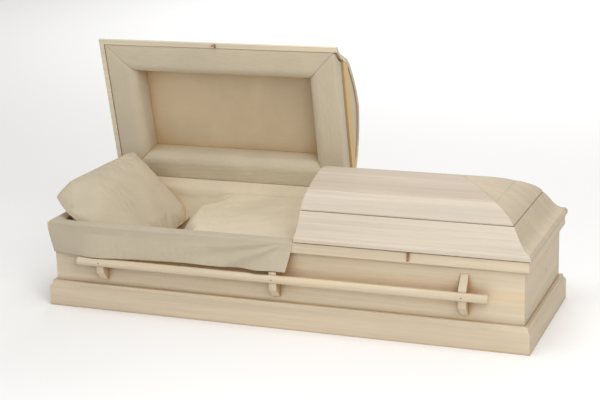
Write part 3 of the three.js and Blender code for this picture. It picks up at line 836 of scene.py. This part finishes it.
def throw_front_leg(over, columns=240):
    """Points of the sheet over the front ledge, from the corner to the split between the lids."""
    face_x, face_y, split_x, _, hem_head, hem_split = throw_places()
    shares = np.linspace(0, 1, columns)
    hem = hem_head + (hem_split - hem_head) * eased(shares, 0.05, 1.0)
    from_corner = eased(shares, 0.0, 0.05)
    ledge_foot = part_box("ledge_front")[0].z
    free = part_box("side_panel_front")[1].z - 0.038
    rows = []
    for inset, height, down in throw_rows(over):
        hangs = height is None
        height = over[-1, 1] + (hem - over[-1, 1]) * down if hangs else np.full(columns, height)
        end = split_x - THROW_END_SLANT * down
        x = face_x + inset + (end - face_x - inset) * shares
        level = np.clip((free - height) / (free - hem_head), 0, None)
        sway = -THROW_TUCK * (1 - from_corner) + throw_sway(x) * from_corner
        inset = inset - sway * level - throw_folds(x, height) * np.clip(down * 3, 0, 1)
        if hangs:
            behind = [ledge_foot - THROW_UNDER_LEDGE, ledge_foot]
            inset = np.minimum(inset, np.interp(height, behind, [THROW_TUCKED_MOST, over[-1, 0]]))
        x = face_x + inset * (1 - shares) + (end - face_x) * shares
        rows.append(np.stack([x, face_y + inset, height], 1))
    return np.stack(rows, 1)


class CASKET_OT_throw(bpy.types.Operator):
    """Lay the muslin sheet over the front and head ledges, with its flap hanging outside"""

    bl_idname = "casket.throw"
    bl_label = "Throw"

    def execute(self, context):
        over = throw_line()
        head, front = throw_head_leg(over), throw_front_leg(over)
        grid = np.concatenate([head, front[1:]], axis=0)
        corner = len(head) - 1
        for _ in range(10):
            band = grid[corner - 5:corner + 6].copy()
            grid[corner - 4:corner + 5] = (band[:-2] + 2 * band[1:-1] + band[2:]) / 4
        uneven = np.abs(0.0009 * ripple(grid, 0.16, 31, (1, 1, 2)) + 0.0004 * ripple(grid, 0.045, 32))
        grid[:, 8:len(over) - 4, 2] += 0.4 * uneven[:, 8:len(over) - 4]
        hanging = np.concatenate([np.zeros(len(over)), eased(THROW_HANGS, 0.0, 0.5)])
        grid[:len(head), :, 0] -= (uneven * hanging)[:len(head)]
        grid[len(head):, :, 1] -= (uneven * hanging)[len(head):]
        throw = thicken(grid_object("muslin_throw", grid), context.scene.casket_cloth.thickness)
        dress(throw, "case", "muslin", bpy.data.materials["muslin_throw"], "throw")
        return {"FINISHED"}


# Pillow
def pillow_axes():
    """Centre, half sizes and directions (across, along, out of the face) of the pillow's solid."""
    points = np.unique(np.round(node_points("pillow"), 5), axis=0)
    centre = points.mean(0)
    _, _, ways = np.linalg.svd(points - centre)
    along, _, out = ways
    if out[2] < 0:
        out = -out
    if along[1] < 0:
        along = -along
    across = np.cross(along, out)
    spans = [((points - centre) @ way) for way in (across, along, out)]
    middle = centre + sum(way * (s.max() + s.min()) / 2 for way, s in zip((across, along, out), spans))
    halves = [(s.max() - s.min()) / 2 for s in spans]
    return middle, halves, (across, along, out)


PILLOW_COLUMNS = 70
PILLOW_ROWS = 92
PILLOW_CROWN = 1.06
PILLOW_CORNER = 0.028
PILLOW_BACK_BULGE = 0.008
PILLOW_MOST_MOVE = 0.010
PIPING_RADIUS = 0.0027
PILLOW_WALL_GAP = 0.0045
PILLOW_GIVE = 0.012

# Seam of the pillow: (across, along) of each held point from -1 to 1, and its shift across, along and out
PILLOW_HELD = [
    ((-1.0, -1.0), (-0.010, 0.058, -0.092)),
    ((-1.0, -0.45), (-0.019, -0.023, -0.026)),
    ((-0.25, -1.0), (-0.029, -0.032, -0.036)),
    ((-1.0, 1.0), (-0.001, 0.023, 0.037)),
    ((1.0, 1.0), (-0.011, 0.025, 0.042)),
    ((1.0, -1.0), (0.0, 0.0, -0.020)),
]
PILLOW_PATCHES = [(0, 1, 2), (1, 3, 4), (1, 4, 2), (2, 4, 5)]


def held_shift(uu, vv):
    """Shift of the seam's plane, straight between the held points, with the near upper corner folded."""
    shift = np.zeros(uu.shape + (3,))
    for patch in PILLOW_PATCHES:
        (a, b, c) = [np.array(PILLOW_HELD[k][0]) for k in patch]
        moves = np.array([PILLOW_HELD[k][1] for k in patch])
        turn = np.linalg.inv(np.array([b - a, c - a]).T)
        second = turn[0, 0] * (uu - a[0]) + turn[0, 1] * (vv - a[1])
        third = turn[1, 0] * (uu - a[0]) + turn[1, 1] * (vv - a[1])
        shares = np.stack([1 - second - third, second, third], -1)
        inside = (shares > -1e-6).all(axis=-1)
        shift[inside] = (shares @ moves)[inside]
    for _ in range(3):
        wide = np.pad(shift, ((1, 1), (1, 1), (0, 0)), mode="reflect", reflect_type="odd")
        shift = (wide[:-2, 1:-1] + wide[2:, 1:-1] + wide[1:-1, :-2] + wide[1:-1, 2:] + 2 * shift) / 6
    return shift


def sewn_case(halves):
    """Face and back of a full knife-edged pillow, with its near upper corner folded back."""
    ends = math.pi / 2 * 0.9
    u = np.sin(np.linspace(-ends, ends, PILLOW_COLUMNS)) / math.sin(ends)
    v = np.sin(np.linspace(-ends, ends, PILLOW_ROWS)) / math.sin(ends)
    uu, vv = np.meshgrid(u, v, indexing="ij")
    corner = 1 - PILLOW_CORNER * (np.abs(uu) * np.abs(vv)) ** 6
    plane = np.dstack([halves[0] * uu * corner, halves[1] * vv * corner, np.zeros_like(uu)])
    plane += held_shift(uu, vv)
    swell = ((1 - np.abs(uu) ** 2.6) * (1 - np.abs(vv) ** 2.8)) ** 0.62
    beyond = (uu + 1) / 0.75 + (vv + 1) / 0.55 - 1
    taut = 0.08 + 0.92 * eased(beyond, -0.15, 0.8)
    face, back = plane.copy(), plane.copy()
    face[..., 2] += (halves[2] * PILLOW_CROWN - np.minimum(plane[..., 2], 0.02)) * swell * taut
    back[..., 2] -= (halves[2] + np.minimum(plane[..., 2], 0.02)) * swell
    back[..., 0] -= PILLOW_BACK_BULGE * np.sin(math.pi * swell) * eased(-uu, 0.2, 0.8)
    return face, back


def sewn_mesh(name, face, back):
    """Face and back as one closed mesh that shares its seam, and the seam's points."""
    columns, rows = face.shape[:2]
    index = np.arange(columns * rows).reshape(columns, rows)
    inner = np.arange((columns - 2) * (rows - 2)).reshape(columns - 2, rows - 2)
    under = index.copy()
    under[1:-1, 1:-1] = inner + columns * rows
    points = np.vstack([face.reshape(-1, 3), back[1:-1, 1:-1].reshape(-1, 3)])

    def quads(grid):
        return np.stack([grid[:-1, :-1], grid[1:, :-1], grid[1:, 1:], grid[:-1, 1:]], -1).reshape(-1, 4)

    faces = np.vstack([quads(index), quads(under)[:, ::-1]])
    mesh = bpy.data.meshes.new(name)
    mesh.from_pydata(points.tolist(), [], faces.tolist())
    face_outwards(mesh)
    seam = np.concatenate([index[:, 0], index[-1, 1:], index[-2::-1, -1], index[0, -2:0:-1]])
    return mesh, seam


def blow_up(piece, seam, frames, pressure):
    """Fills the sewn case by a cloth simulation held at its seam, and keeps the result as its mesh."""
    scene = bpy.context.scene
    held = piece.vertex_groups.new(name="seam")
    held.add([int(k) for k in seam], 1.0, "REPLACE")
    cloth = piece.modifiers.new("Fill", "CLOTH")
    settings = cloth.settings
    settings.quality = 7
    settings.mass = 0.25
    settings.tension_stiffness = 22
    settings.compression_stiffness = 22
    settings.shear_stiffness = 10
    settings.bending_stiffness = 0.35
    settings.air_damping = 4
    settings.shrink_min = settings.shrink_max = -0.035
    settings.use_pressure = True
    settings.uniform_pressure_force = pressure
    settings.vertex_group_mass = "seam"
    settings.effector_weights.gravity = 0
    cloth.collision_settings.use_collision = False
    cloth.point_cache.frame_end = frames
    for step in range(1, frames + 1):
        scene.frame_set(step)
    result = piece.evaluated_get(bpy.context.evaluated_depsgraph_get())
    mesh = bpy.data.meshes.new_from_object(result)
    piece.modifiers.clear()
    piece.data = mesh
    scene.frame_set(1)


class CASKET_OT_pillow(bpy.types.Operator):
    """Sew, fill and lean the pillow, with piping round its seam"""

    bl_idname = "casket.pillow"
    bl_label = "Pillow"

    def execute(self, context):
        cloth = context.scene.casket_cloth
        middle, halves, ways = pillow_axes()
        mesh, seam = sewn_mesh("leaning_pillow", *sewn_case(halves))
        pillow = new_object("leaning_pillow", mesh)
        start = np.array([v.co for v in mesh.vertices])
        blow_up(pillow, seam, cloth.inflate_frames, cloth.inflate_pressure)
        points = np.array([v.co for v in pillow.data.vertices])
        moved = points - start
        far = np.linalg.norm(moved, axis=1, keepdims=True)
        points = start + moved * np.minimum(1, PILLOW_MOST_MOVE / np.maximum(far, 1e-9))
        points += slump(points, halves)
        placed = pressed_by_wall(middle + points @ np.array(ways))
        pillow.data.vertices.foreach_set("co", placed.astype(np.float32).ravel())
        pillow.data.update()
        smooth = pillow.modifiers.new("Fine cloth", "SUBSURF")
        smooth.levels = smooth.render_levels = 1
        dress(pillow, "case", "muslin", bpy.data.materials["muslin_pillow"], "pillow")
        piping = tube_object("pillow_piping", placed[seam], PIPING_RADIUS, 10)
        dress(piping, "case", "muslin", bpy.data.materials["muslin_pillow"])
        for piece in (pillow, piping):
            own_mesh(piece)
        return {"FINISHED"}


def pressed_by_wall(points):
    """Presses the pillow's near side softly back, so that it stays inside the front wall and the sheet."""
    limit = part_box("side_panel_front")[1].y + PILLOW_WALL_GAP
    past = np.maximum(0, limit + PILLOW_GIVE - points[:, 1])
    points[:, 1] += past - PILLOW_GIVE * (1 - np.exp(-past / PILLOW_GIVE))
    return points


# Each crease of the pillow's face: its two ends, across and along from -1 to 1, its width and its depth
PILLOW_CREASES = [
    ((-0.92, -0.42), (-0.50, 0.10), 0.06, 0.0045), ((-0.80, -0.50), (-0.15, -0.20), 0.045, 0.0030),
    ((-0.45, -0.75), (0.10, -0.30), 0.04, 0.0030), ((0.88, 0.85), (0.45, 0.50), 0.05, 0.0035),
    ((-0.92, 0.85), (-0.50, 0.55), 0.05, 0.0030), ((0.10, -0.85), (0.50, -0.35), 0.045, 0.0030),
]


def slump(points, halves):
    """Dents and soft creases of a pillow that has been leaned on, fading out at its seam."""
    u, v = points[:, 0] / halves[0], points[:, 1] / halves[1]
    inside = np.clip(1 - np.abs(u) ** 4, 0, 1) * np.clip(1 - np.abs(v) ** 4, 0, 1)
    face = np.where(np.arange(len(points)) < PILLOW_COLUMNS * PILLOW_ROWS, 1.0, -1.0)
    dents = 0.0026 * ripple(points, 0.15, 41) - 0.006 * bell(u, 0.1, 0.5) * bell(v, 0.15, 0.45)
    creased = bell(u, -0.1, 0.4) * bell(v, -0.35, 0.35)
    creases = 0.0026 * creased * ripple(points, 0.034, 42, (2.2, 0.6, 1))
    for (start, stop, width, depth) in PILLOW_CREASES:
        run = np.array([stop[0] - start[0], stop[1] - start[1]])
        length = float(np.hypot(*run))
        share = ((u - start[0]) * run[0] + (v - start[1]) * run[1]) / length ** 2
        aside = ((u - start[0]) * run[1] - (v - start[1]) * run[0]) / length
        creases -= depth * bell(aside, 0.0, width) * bell(share, 0.45, 0.45)
    shift = np.zeros_like(points)
    shift[:, 2] = face * inside * (dents + creases)
    return shift


def tube_object(name, line, radius, sides):
    """A round tube along a closed line of points."""
    ahead = np.roll(line, -1, axis=0) - np.roll(line, 1, axis=0)
    ahead /= np.linalg.norm(ahead, axis=1, keepdims=True)
    up = np.cross(ahead, np.array([0.0, 0.0, 1.0]))
    up /= np.linalg.norm(up, axis=1, keepdims=True) + 1e-9
    side = np.cross(ahead, up)
    angles = np.linspace(0, 2 * math.pi, sides, endpoint=False)
    ring = up[:, None] * np.cos(angles)[None, :, None] + side[:, None] * np.sin(angles)[None, :, None]
    grid = line[:, None] + radius * ring
    return joined_piece(name, [grid_object(name, np.concatenate([grid, grid[:1]]), ring=True)])


# Padding of the head lid
def lid_rim():
    """The padded frame inside the shut head lid: its outer rectangle, foot, width and depth."""
    front, end, cut, back = [
        closed_corners(f"head_lid_roll_{side}") for side in ("front", "end", "cut", "back")
    ]
    return {
        "x": (end[0][0], cut[1][0]), "y": (front[0][1], back[1][1]), "z": front[0][2],
        "width": front[1][1] - front[0][1], "depth": front[1][2] - front[0][2],
    }


ROLL_SHOULDER = 0.047
ROLL_SINK = 0.0006
ROLL_BACK_TOP = 0.0004


def roll_section(width, depth, heel=None):
    """One padded roll cut across: a soft face, a full shoulder, an inner wall and a lean back."""
    turn = np.linspace(0, math.pi / 2, 9)
    shoulder = ROLL_SHOULDER * (1 - np.stack([np.cos(turn), np.sin(turn)], 1))
    shoulder[:, 0] = width - shoulder[:, 0]
    face = [(width * 0.42, 0.0), (0.030, 0.0), (0.012, 0.0006), (0.0030, 0.0020), (-0.0006, 0.0050)]
    top = depth - ROLL_BACK_TOP
    inner = [(width - 0.002, top), (width - 0.0005, depth * 0.7)]
    back = [(-0.0006, 0.0130), (0.012, 0.018), (0.056, 0.048), (0.098, depth - 0.006), (0.100, top)]
    if heel:
        setback, height = heel
        back = [(0.0, height * 0.5), (0.0, height), (setback, height), (setback, top)]
    return np.array([*inner, *shoulder, *face, *back])


MITRE_GAP = 0.0001


def shut_roll(side, rim, heel=None, limit=None):
    """The grid of one roll of the shut lid, mitred into its neighbours."""
    section = spaced(roll_section(rim["width"], rim["depth"], heel), 84)
    along = 0 if side in ("front", "back") else 1
    across = 1 - along
    low, high = rim["xy"[along]]
    shares = 0.5 - 0.5 * np.cos(np.linspace(0, math.pi, 150))
    shares = 0.35 * shares + 0.65 * np.linspace(0, 1, 150)
    grid = np.empty((len(shares), len(section), 3))
    sign = 1 if side in ("front", "end") else -1
    outer = rim["xy"[across]][0 if sign == 1 else 1]
    for k, (inward, rise) in enumerate(section):
        start, stop = low + inward + MITRE_GAP, high - inward - MITRE_GAP
        if limit:
            middle = (low + high) / 2
            half = min((stop - start) / 2, limit(rise))
            start, stop = middle - half, middle + half
        grid[:, k, along] = start + (stop - start) * shares
        grid[:, k, across] = outer + sign * inward
        grid[:, k, 2] = rim["z"] + rise
    from_start, from_end = grid[..., along] - grid[:1, :, along], grid[-1:, :, along] - grid[..., along]
    ends = np.minimum(from_start, from_end)
    ring_next = np.roll(section, -1, axis=0) - np.roll(section, 1, axis=0)
    out = np.stack([ring_next[:, 1], -ring_next[:, 0]], 1)
    out /= np.linalg.norm(out, axis=1, keepdims=True)
    if out[np.argmin(section[:, 1])][1] > 0:
        out = -out
    seen = eased(0.09 - section[:, 1], 0.0, 0.03) * (section[:, 0] > 0.002)
    pinch = -0.0013 * bell(ends, 0.0, 0.005) - 0.0010 * bell(ends, 0.0, 0.025)
    seed = {"front": 51, "back": 52, "end": 53, "cut": 54}[side]
    slack = (0.25, 1.0, 1.0) if along == 1 else (1.0, 0.25, 1.0)
    uneven = 0.0006 * ripple(grid, 0.20, seed) + 0.0003 * ripple(grid, 0.05, seed + 10, slack)
    shift = (pinch + uneven - ROLL_SINK) * seen
    grid[..., across] += sign * shift * out[:, 0]
    grid[..., 2] += shift * out[:, 1]
    near_start, near_end = 1 - eased(from_start, 0.0, 0.03), 1 - eased(from_end, 0.0, 0.03)
    grid[..., along] += (near_start - near_end) * shift * out[:, 0]
    return grid


class CASKET_OT_lid_padding(bpy.types.Operator):
    """Pad the head lid with four mitred rolls round a cloth-covered centre panel"""

    bl_idname = "casket.lid_padding"
    bl_label = "Head lid padding"

    def execute(self, context):
        rim = lid_rim()
        top = rim["z"] + rim["depth"]
        cut = closed_points("head_lid_roll_cut")
        outer = cut[cut[:, 0] > cut[:, 0].max() - 0.0005]
        heights = np.unique(np.round(outer[:, 2], 4))
        reach = [np.abs(outer[np.isclose(outer[:, 2], h, atol=2e-4)][:, 1]).max() for h in heights]
        crown = cut[cut[:, 2] > top - 0.001]
        heel = (rim["x"][1] - crown[:, 0].max(), heights.max() - rim["z"])

        def limit(rise):
            reaches = [*reach, np.abs(crown[:, 1]).max()]
            return float(np.interp(rim["z"] + rise, [*heights, top], reaches)) - 0.0005

        for side in ("front", "back", "end", "cut"):
            grid = shut_roll(side, rim, *((heel, limit) if side == "cut" else ()))
            roll = grid_object(f"padded_roll_{side}", opened(grid), ring=True, caps=True)
            dress(roll, "head_lid", "muslin", bpy.data.materials["muslin_lid"], f"head_lid_roll_{side}")
        self.add_panel(rim)
        return {"FINISHED"}

    def add_panel(self, rim):
        low, high = closed_corners("head_lid_centre_panel")
        grid = level_grid(np.linspace(low[0], high[0], 150), np.linspace(low[1], high[1], 90))
        grid[..., 2] = low[2]
        slack = 0.0011 + 0.0007 * ripple(grid, 0.24, 61) + 0.0003 * ripple(grid, 0.07, 62, (1, 3, 1))
        corner = np.hypot(grid[..., 0] - (high[0] - 0.02), grid[..., 1] - (low[1] + 0.02))
        turn = np.arctan2(grid[..., 1] - low[1], high[0] - grid[..., 0])
        pucker = 0.0012 * bell(corner, 0.05, 0.035) * np.sin(turn * 16)
        grid[..., 2] += np.clip(slack + pucker, 0.0, 0.003)
        panel = grid_object("lid_centre_panel", opened(ring_of_rows(grid, high[2])), ring=True, caps=True)
        cloth = bpy.data.materials["panel_muslin"]
        dress(panel, "head_lid", "panel_cloth", cloth, "head_lid_centre_panel")


# Pull tabs, screws and hinges
def strap(line, width, thickness):
    """A flat strap along a line in the y and z plane, centred on x 0."""
    line = spaced(rounded(line, 3), 34)
    ahead = np.gradient(line, axis=0)
    ahead /= np.linalg.norm(ahead, axis=1, keepdims=True)
    side = np.stack([ahead[:, 1], -ahead[:, 0]], 1) * thickness / 2
    grid = np.empty((len(line), 14, 3))
    half = width / 2
    edge = [-half, -half * 0.94, -half * 0.5, 0, half * 0.5, half * 0.94, half]
    full = [0.35, 1, 1, 1.12, 1, 1, 0.35]
    for k, (x, share) in enumerate(zip(edge, full)):
        for column, way in ((k, 1), (13 - k, -1)):
            grid[:, column, 0] = x
            grid[:, column, 1:] = line + way * share * side
    return grid


TAB_NARROWED = 0.72
TAB_THICKNESS = 0.0013
LEAF_ROUND = 0.0002
SCREW_SUNK = 0.0016
SCREW_RADIUS = 0.0027


class CASKET_OT_fittings(bpy.types.Operator):
    """Make the leather pull tabs and the bars' screw heads, and finish the hinges in satin steel"""

    bl_idname = "casket.fittings"
    bl_label = "Tabs, screws and hinges"

    def execute(self, context):
        leather = leather_material()
        tabs = {"foot_lid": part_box("foot_lid_tab"), "head_lid": closed_corners("head_lid_tab")}
        for lid, corners in tabs.items():
            low, high = Vector(corners[0]), Vector(corners[1])
            front, top = low.y + TAB_THICKNESS / 2, high.z - TAB_THICKNESS / 2
            line = [
                (high.y, top), (front + 0.010, top), (front + 0.0006, top - 0.0006),
                (front, top - 0.010), (front + 0.0012, low.z + 0.012), (front, low.z),
            ]
            grid = strap(line, (high.x - low.x) * TAB_NARROWED, TAB_THICKNESS)
            grid[..., 0] += (low.x + high.x) / 2
            if lid == "head_lid":
                grid = opened(grid)
            tab = grid_object(f"leather_{lid}_tab", grid, ring=True, caps=True)
            dress(tab, lid, "leather", leather, f"{lid}_tab")
        steel = steel_material("hinge_steel_satin", (0.50, 0.46, 0.38), (0.68, 0.64, 0.55))
        # painted shade: the screw heads are real, but their near-black steel stands in for the shade down in
        # the bars' recesses
        screw = steel_material("screw_steel_painted_shade", (0.05, 0.035, 0.025), (0.12, 0.09, 0.06))
        for side, way in (("front", 1), ("back", -1)):
            self.add_screws(side, way, screw)
        for name, node in NODES.items():
            if name.endswith("_leaf"):
                finish_in(node, steel)
                soften_board(node, LEAF_ROUND)
        return {"FINISHED"}

    def add_screws(self, side, way, steel):
        low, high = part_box(f"handle_bar_{side}")
        face = (low.y if way > 0 else high.y) + way * SCREW_SUNK
        turn = np.linspace(0, 2 * math.pi, 16, endpoint=False)
        rim = np.stack([np.cos(turn), np.zeros(16), np.sin(turn)], 1) * SCREW_RADIUS
        deep = np.array([0, way * 0.002, 0])
        heads = []
        for number in (1, 2, 3):
            arm_low, arm_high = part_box(f"handle_arm_{side}_{number}")
            centre = np.array([(arm_low.x + arm_high.x) / 2, face, (low.z + high.z) / 2])
            rings = [centre + rim + deep, centre + rim, centre + 0.4 * rim + deep * 0.3]
            grid = np.stack([np.concatenate([ring, ring[:1]]) for ring in rings])
            heads.append(grid_object(f"screw_{number}", grid, ring=True))
        screws = joined_piece(f"screws_{side}", heads)
        dress(screws, "case", "hinge_steel", steel)


class CASKET_OT_cloths(bpy.types.Operator):
    """Mix the muslin materials that the soft pieces share"""

    bl_idname = "casket.cloths"
    bl_label = "Muslin materials"

    def execute(self, context):
        cloth = context.scene.casket_cloth
        # painted light and shade: one muslin lightened on the bed as painted light, darkened on the sheet,
        # pillow and lid padding as painted shade
        painted_light_levels = {"bed": 1.12, "throw": 0.88, "pillow": 0.94, "lid": 0.97}
        for seed, (place, tone) in enumerate(painted_light_levels.items(), 1):
            cloth_material(f"muslin_{place}", [channel * tone for channel in cloth.muslin], seed)
        cloth_material("panel_muslin", list(cloth.panel), 5.0, 0.07)
        return {"FINISHED"}


# Stage
CAMERA_PLACE = (2.1659, -5.5633, 2.0928)
CAMERA_AZIMUTH = 0.3737
CAMERA_ELEVATION = 0.2683
CAMERA_ROLL = -0.0292
FLOOR_REACH = 60
FLOOR_BELOW = 0.0005


def camera_turn():
    """The camera's axes from its azimuth round the casket, its height angle and its roll."""
    back = Vector((
        math.sin(CAMERA_AZIMUTH) * math.cos(CAMERA_ELEVATION),
        -math.cos(CAMERA_AZIMUTH) * math.cos(CAMERA_ELEVATION),
        math.sin(CAMERA_ELEVATION),
    ))
    right = (-back).cross(Vector((0, 0, 1))).normalized()
    up = right.cross(-back)
    level = Matrix((right, up, back)).transposed()
    return level @ Matrix.Rotation(CAMERA_ROLL, 3, "Z")


class CASKET_OT_stage(bpy.types.Operator):
    """Set the pale floor, the soft studio lights and the camera"""

    bl_idname = "casket.stage"
    bl_label = "Stage"

    def execute(self, context):
        scene = context.scene
        stage = scene.casket_stage
        scene.view_settings.view_transform = "Standard"
        data = bpy.data.cameras.new("camera")
        data.lens = stage.focal
        data.sensor_width = 36
        data.clip_end = 200
        camera = new_object("camera", data)
        camera.matrix_world = Matrix.Translation(CAMERA_PLACE) @ camera_turn().to_4x4()
        scene.camera = camera

        mesh = bpy.data.meshes.new("floor")
        corners = [(x * FLOOR_REACH, y * FLOOR_REACH, 0) for x, y in ((-1, -1), (1, -1), (1, 1), (-1, 1))]
        mesh.from_pydata(corners, [], [(0, 1, 2, 3)])
        floor = new_object("floor", mesh)
        floor.location.z = -FLOOR_BELOW
        paint, _, shader = new_tree("floor_paint")
        shader.inputs["Base Color"].default_value = (*stage.floor, 1)
        shader.inputs["Roughness"].default_value = 0.9
        shader.inputs["Specular IOR Level"].default_value = 0.1
        mesh.materials.append(paint)

        world = bpy.data.worlds.new("studio")
        world.use_nodes = True
        light = world.node_tree.nodes["Background"]
        light.inputs["Color"].default_value = (1, 0.99, 0.975, 1)
        light.inputs["Strength"].default_value = stage.ambient
        scene.world = world

        lamps = (
            ("key", (2.6, -3.2, 2.9), (0, 0, 0.35), 2.4, stage.key, (1.0, 0.99, 0.975)),
            ("top", (0.2, -0.9, 3.6), (0.1, -0.1, 0.35), 2.2, stage.key * 0.55, (1.0, 0.985, 0.97)),
            ("backdrop", (0.0, 9.0, 6.0), (0, 9.5, 0), 7.0, stage.key * 6.0, (1.0, 1.0, 1.0)),
        )
        for name, place, aim, width, power, colour in lamps:
            lamp = bpy.data.lights.new(name, "AREA")
            lamp.size = width
            lamp.energy = power
            lamp.color = colour
            holder = new_object(name, lamp)
            holder.location = place
            holder.rotation_euler = (Vector(aim) - Vector(place)).to_track_quat("-Z", "Y").to_euler()
        return {"FINISHED"}


class CASKET_PT_sidebar(bpy.types.Panel):
    bl_idname = "CASKET_PT_sidebar"
    bl_label = "Wooden casket"
    bl_space_type = "VIEW_3D"
    bl_region_type = "UI"
    bl_category = "Casket"

    def draw(self, context):
        for title, group in (
            ("Wood", context.scene.casket_wood), ("Cloth", context.scene.casket_cloth),
            ("Stage", context.scene.casket_stage),
        ):
            box = self.layout.box()
            box.label(text=title)
            for name in group.__annotations__:
                box.prop(group, name)
        for operator in OPERATORS:
            self.layout.operator(operator.bl_idname)


SETTINGS = (
    ("casket_wood", CasketWoodSettings), ("casket_cloth", CasketClothSettings),
    ("casket_stage", CasketStageSettings),
)
OPERATORS = (
    CASKET_OT_stage, CASKET_OT_boards, CASKET_OT_cloths, CASKET_OT_bed, CASKET_OT_linings,
    CASKET_OT_lid_padding, CASKET_OT_curtain, CASKET_OT_throw, CASKET_OT_pillow, CASKET_OT_fittings,
)


def register():
    for name, group in SETTINGS:
        bpy.utils.register_class(group)
        setattr(bpy.types.Scene, name, PointerProperty(type=group))
    for item in (*OPERATORS, CASKET_PT_sidebar):
        bpy.utils.register_class(item)


def unregister():
    for item in (CASKET_PT_sidebar, *reversed(OPERATORS)):
        bpy.utils.unregister_class(item)
    for name, group in reversed(SETTINGS):
        delattr(bpy.types.Scene, name)
        bpy.utils.unregister_class(group)


def main():
    register()
    bpy.ops.casket.stage()
    bpy.ops.casket.boards()
    bpy.ops.casket.cloths()
    bpy.ops.casket.bed()
    bpy.ops.casket.linings()
    bpy.ops.casket.lid_padding()
    bpy.ops.casket.curtain()
    bpy.ops.casket.throw()
    bpy.ops.casket.pillow()
    bpy.ops.casket.fittings()


if __name__ == "__main__":
    main()
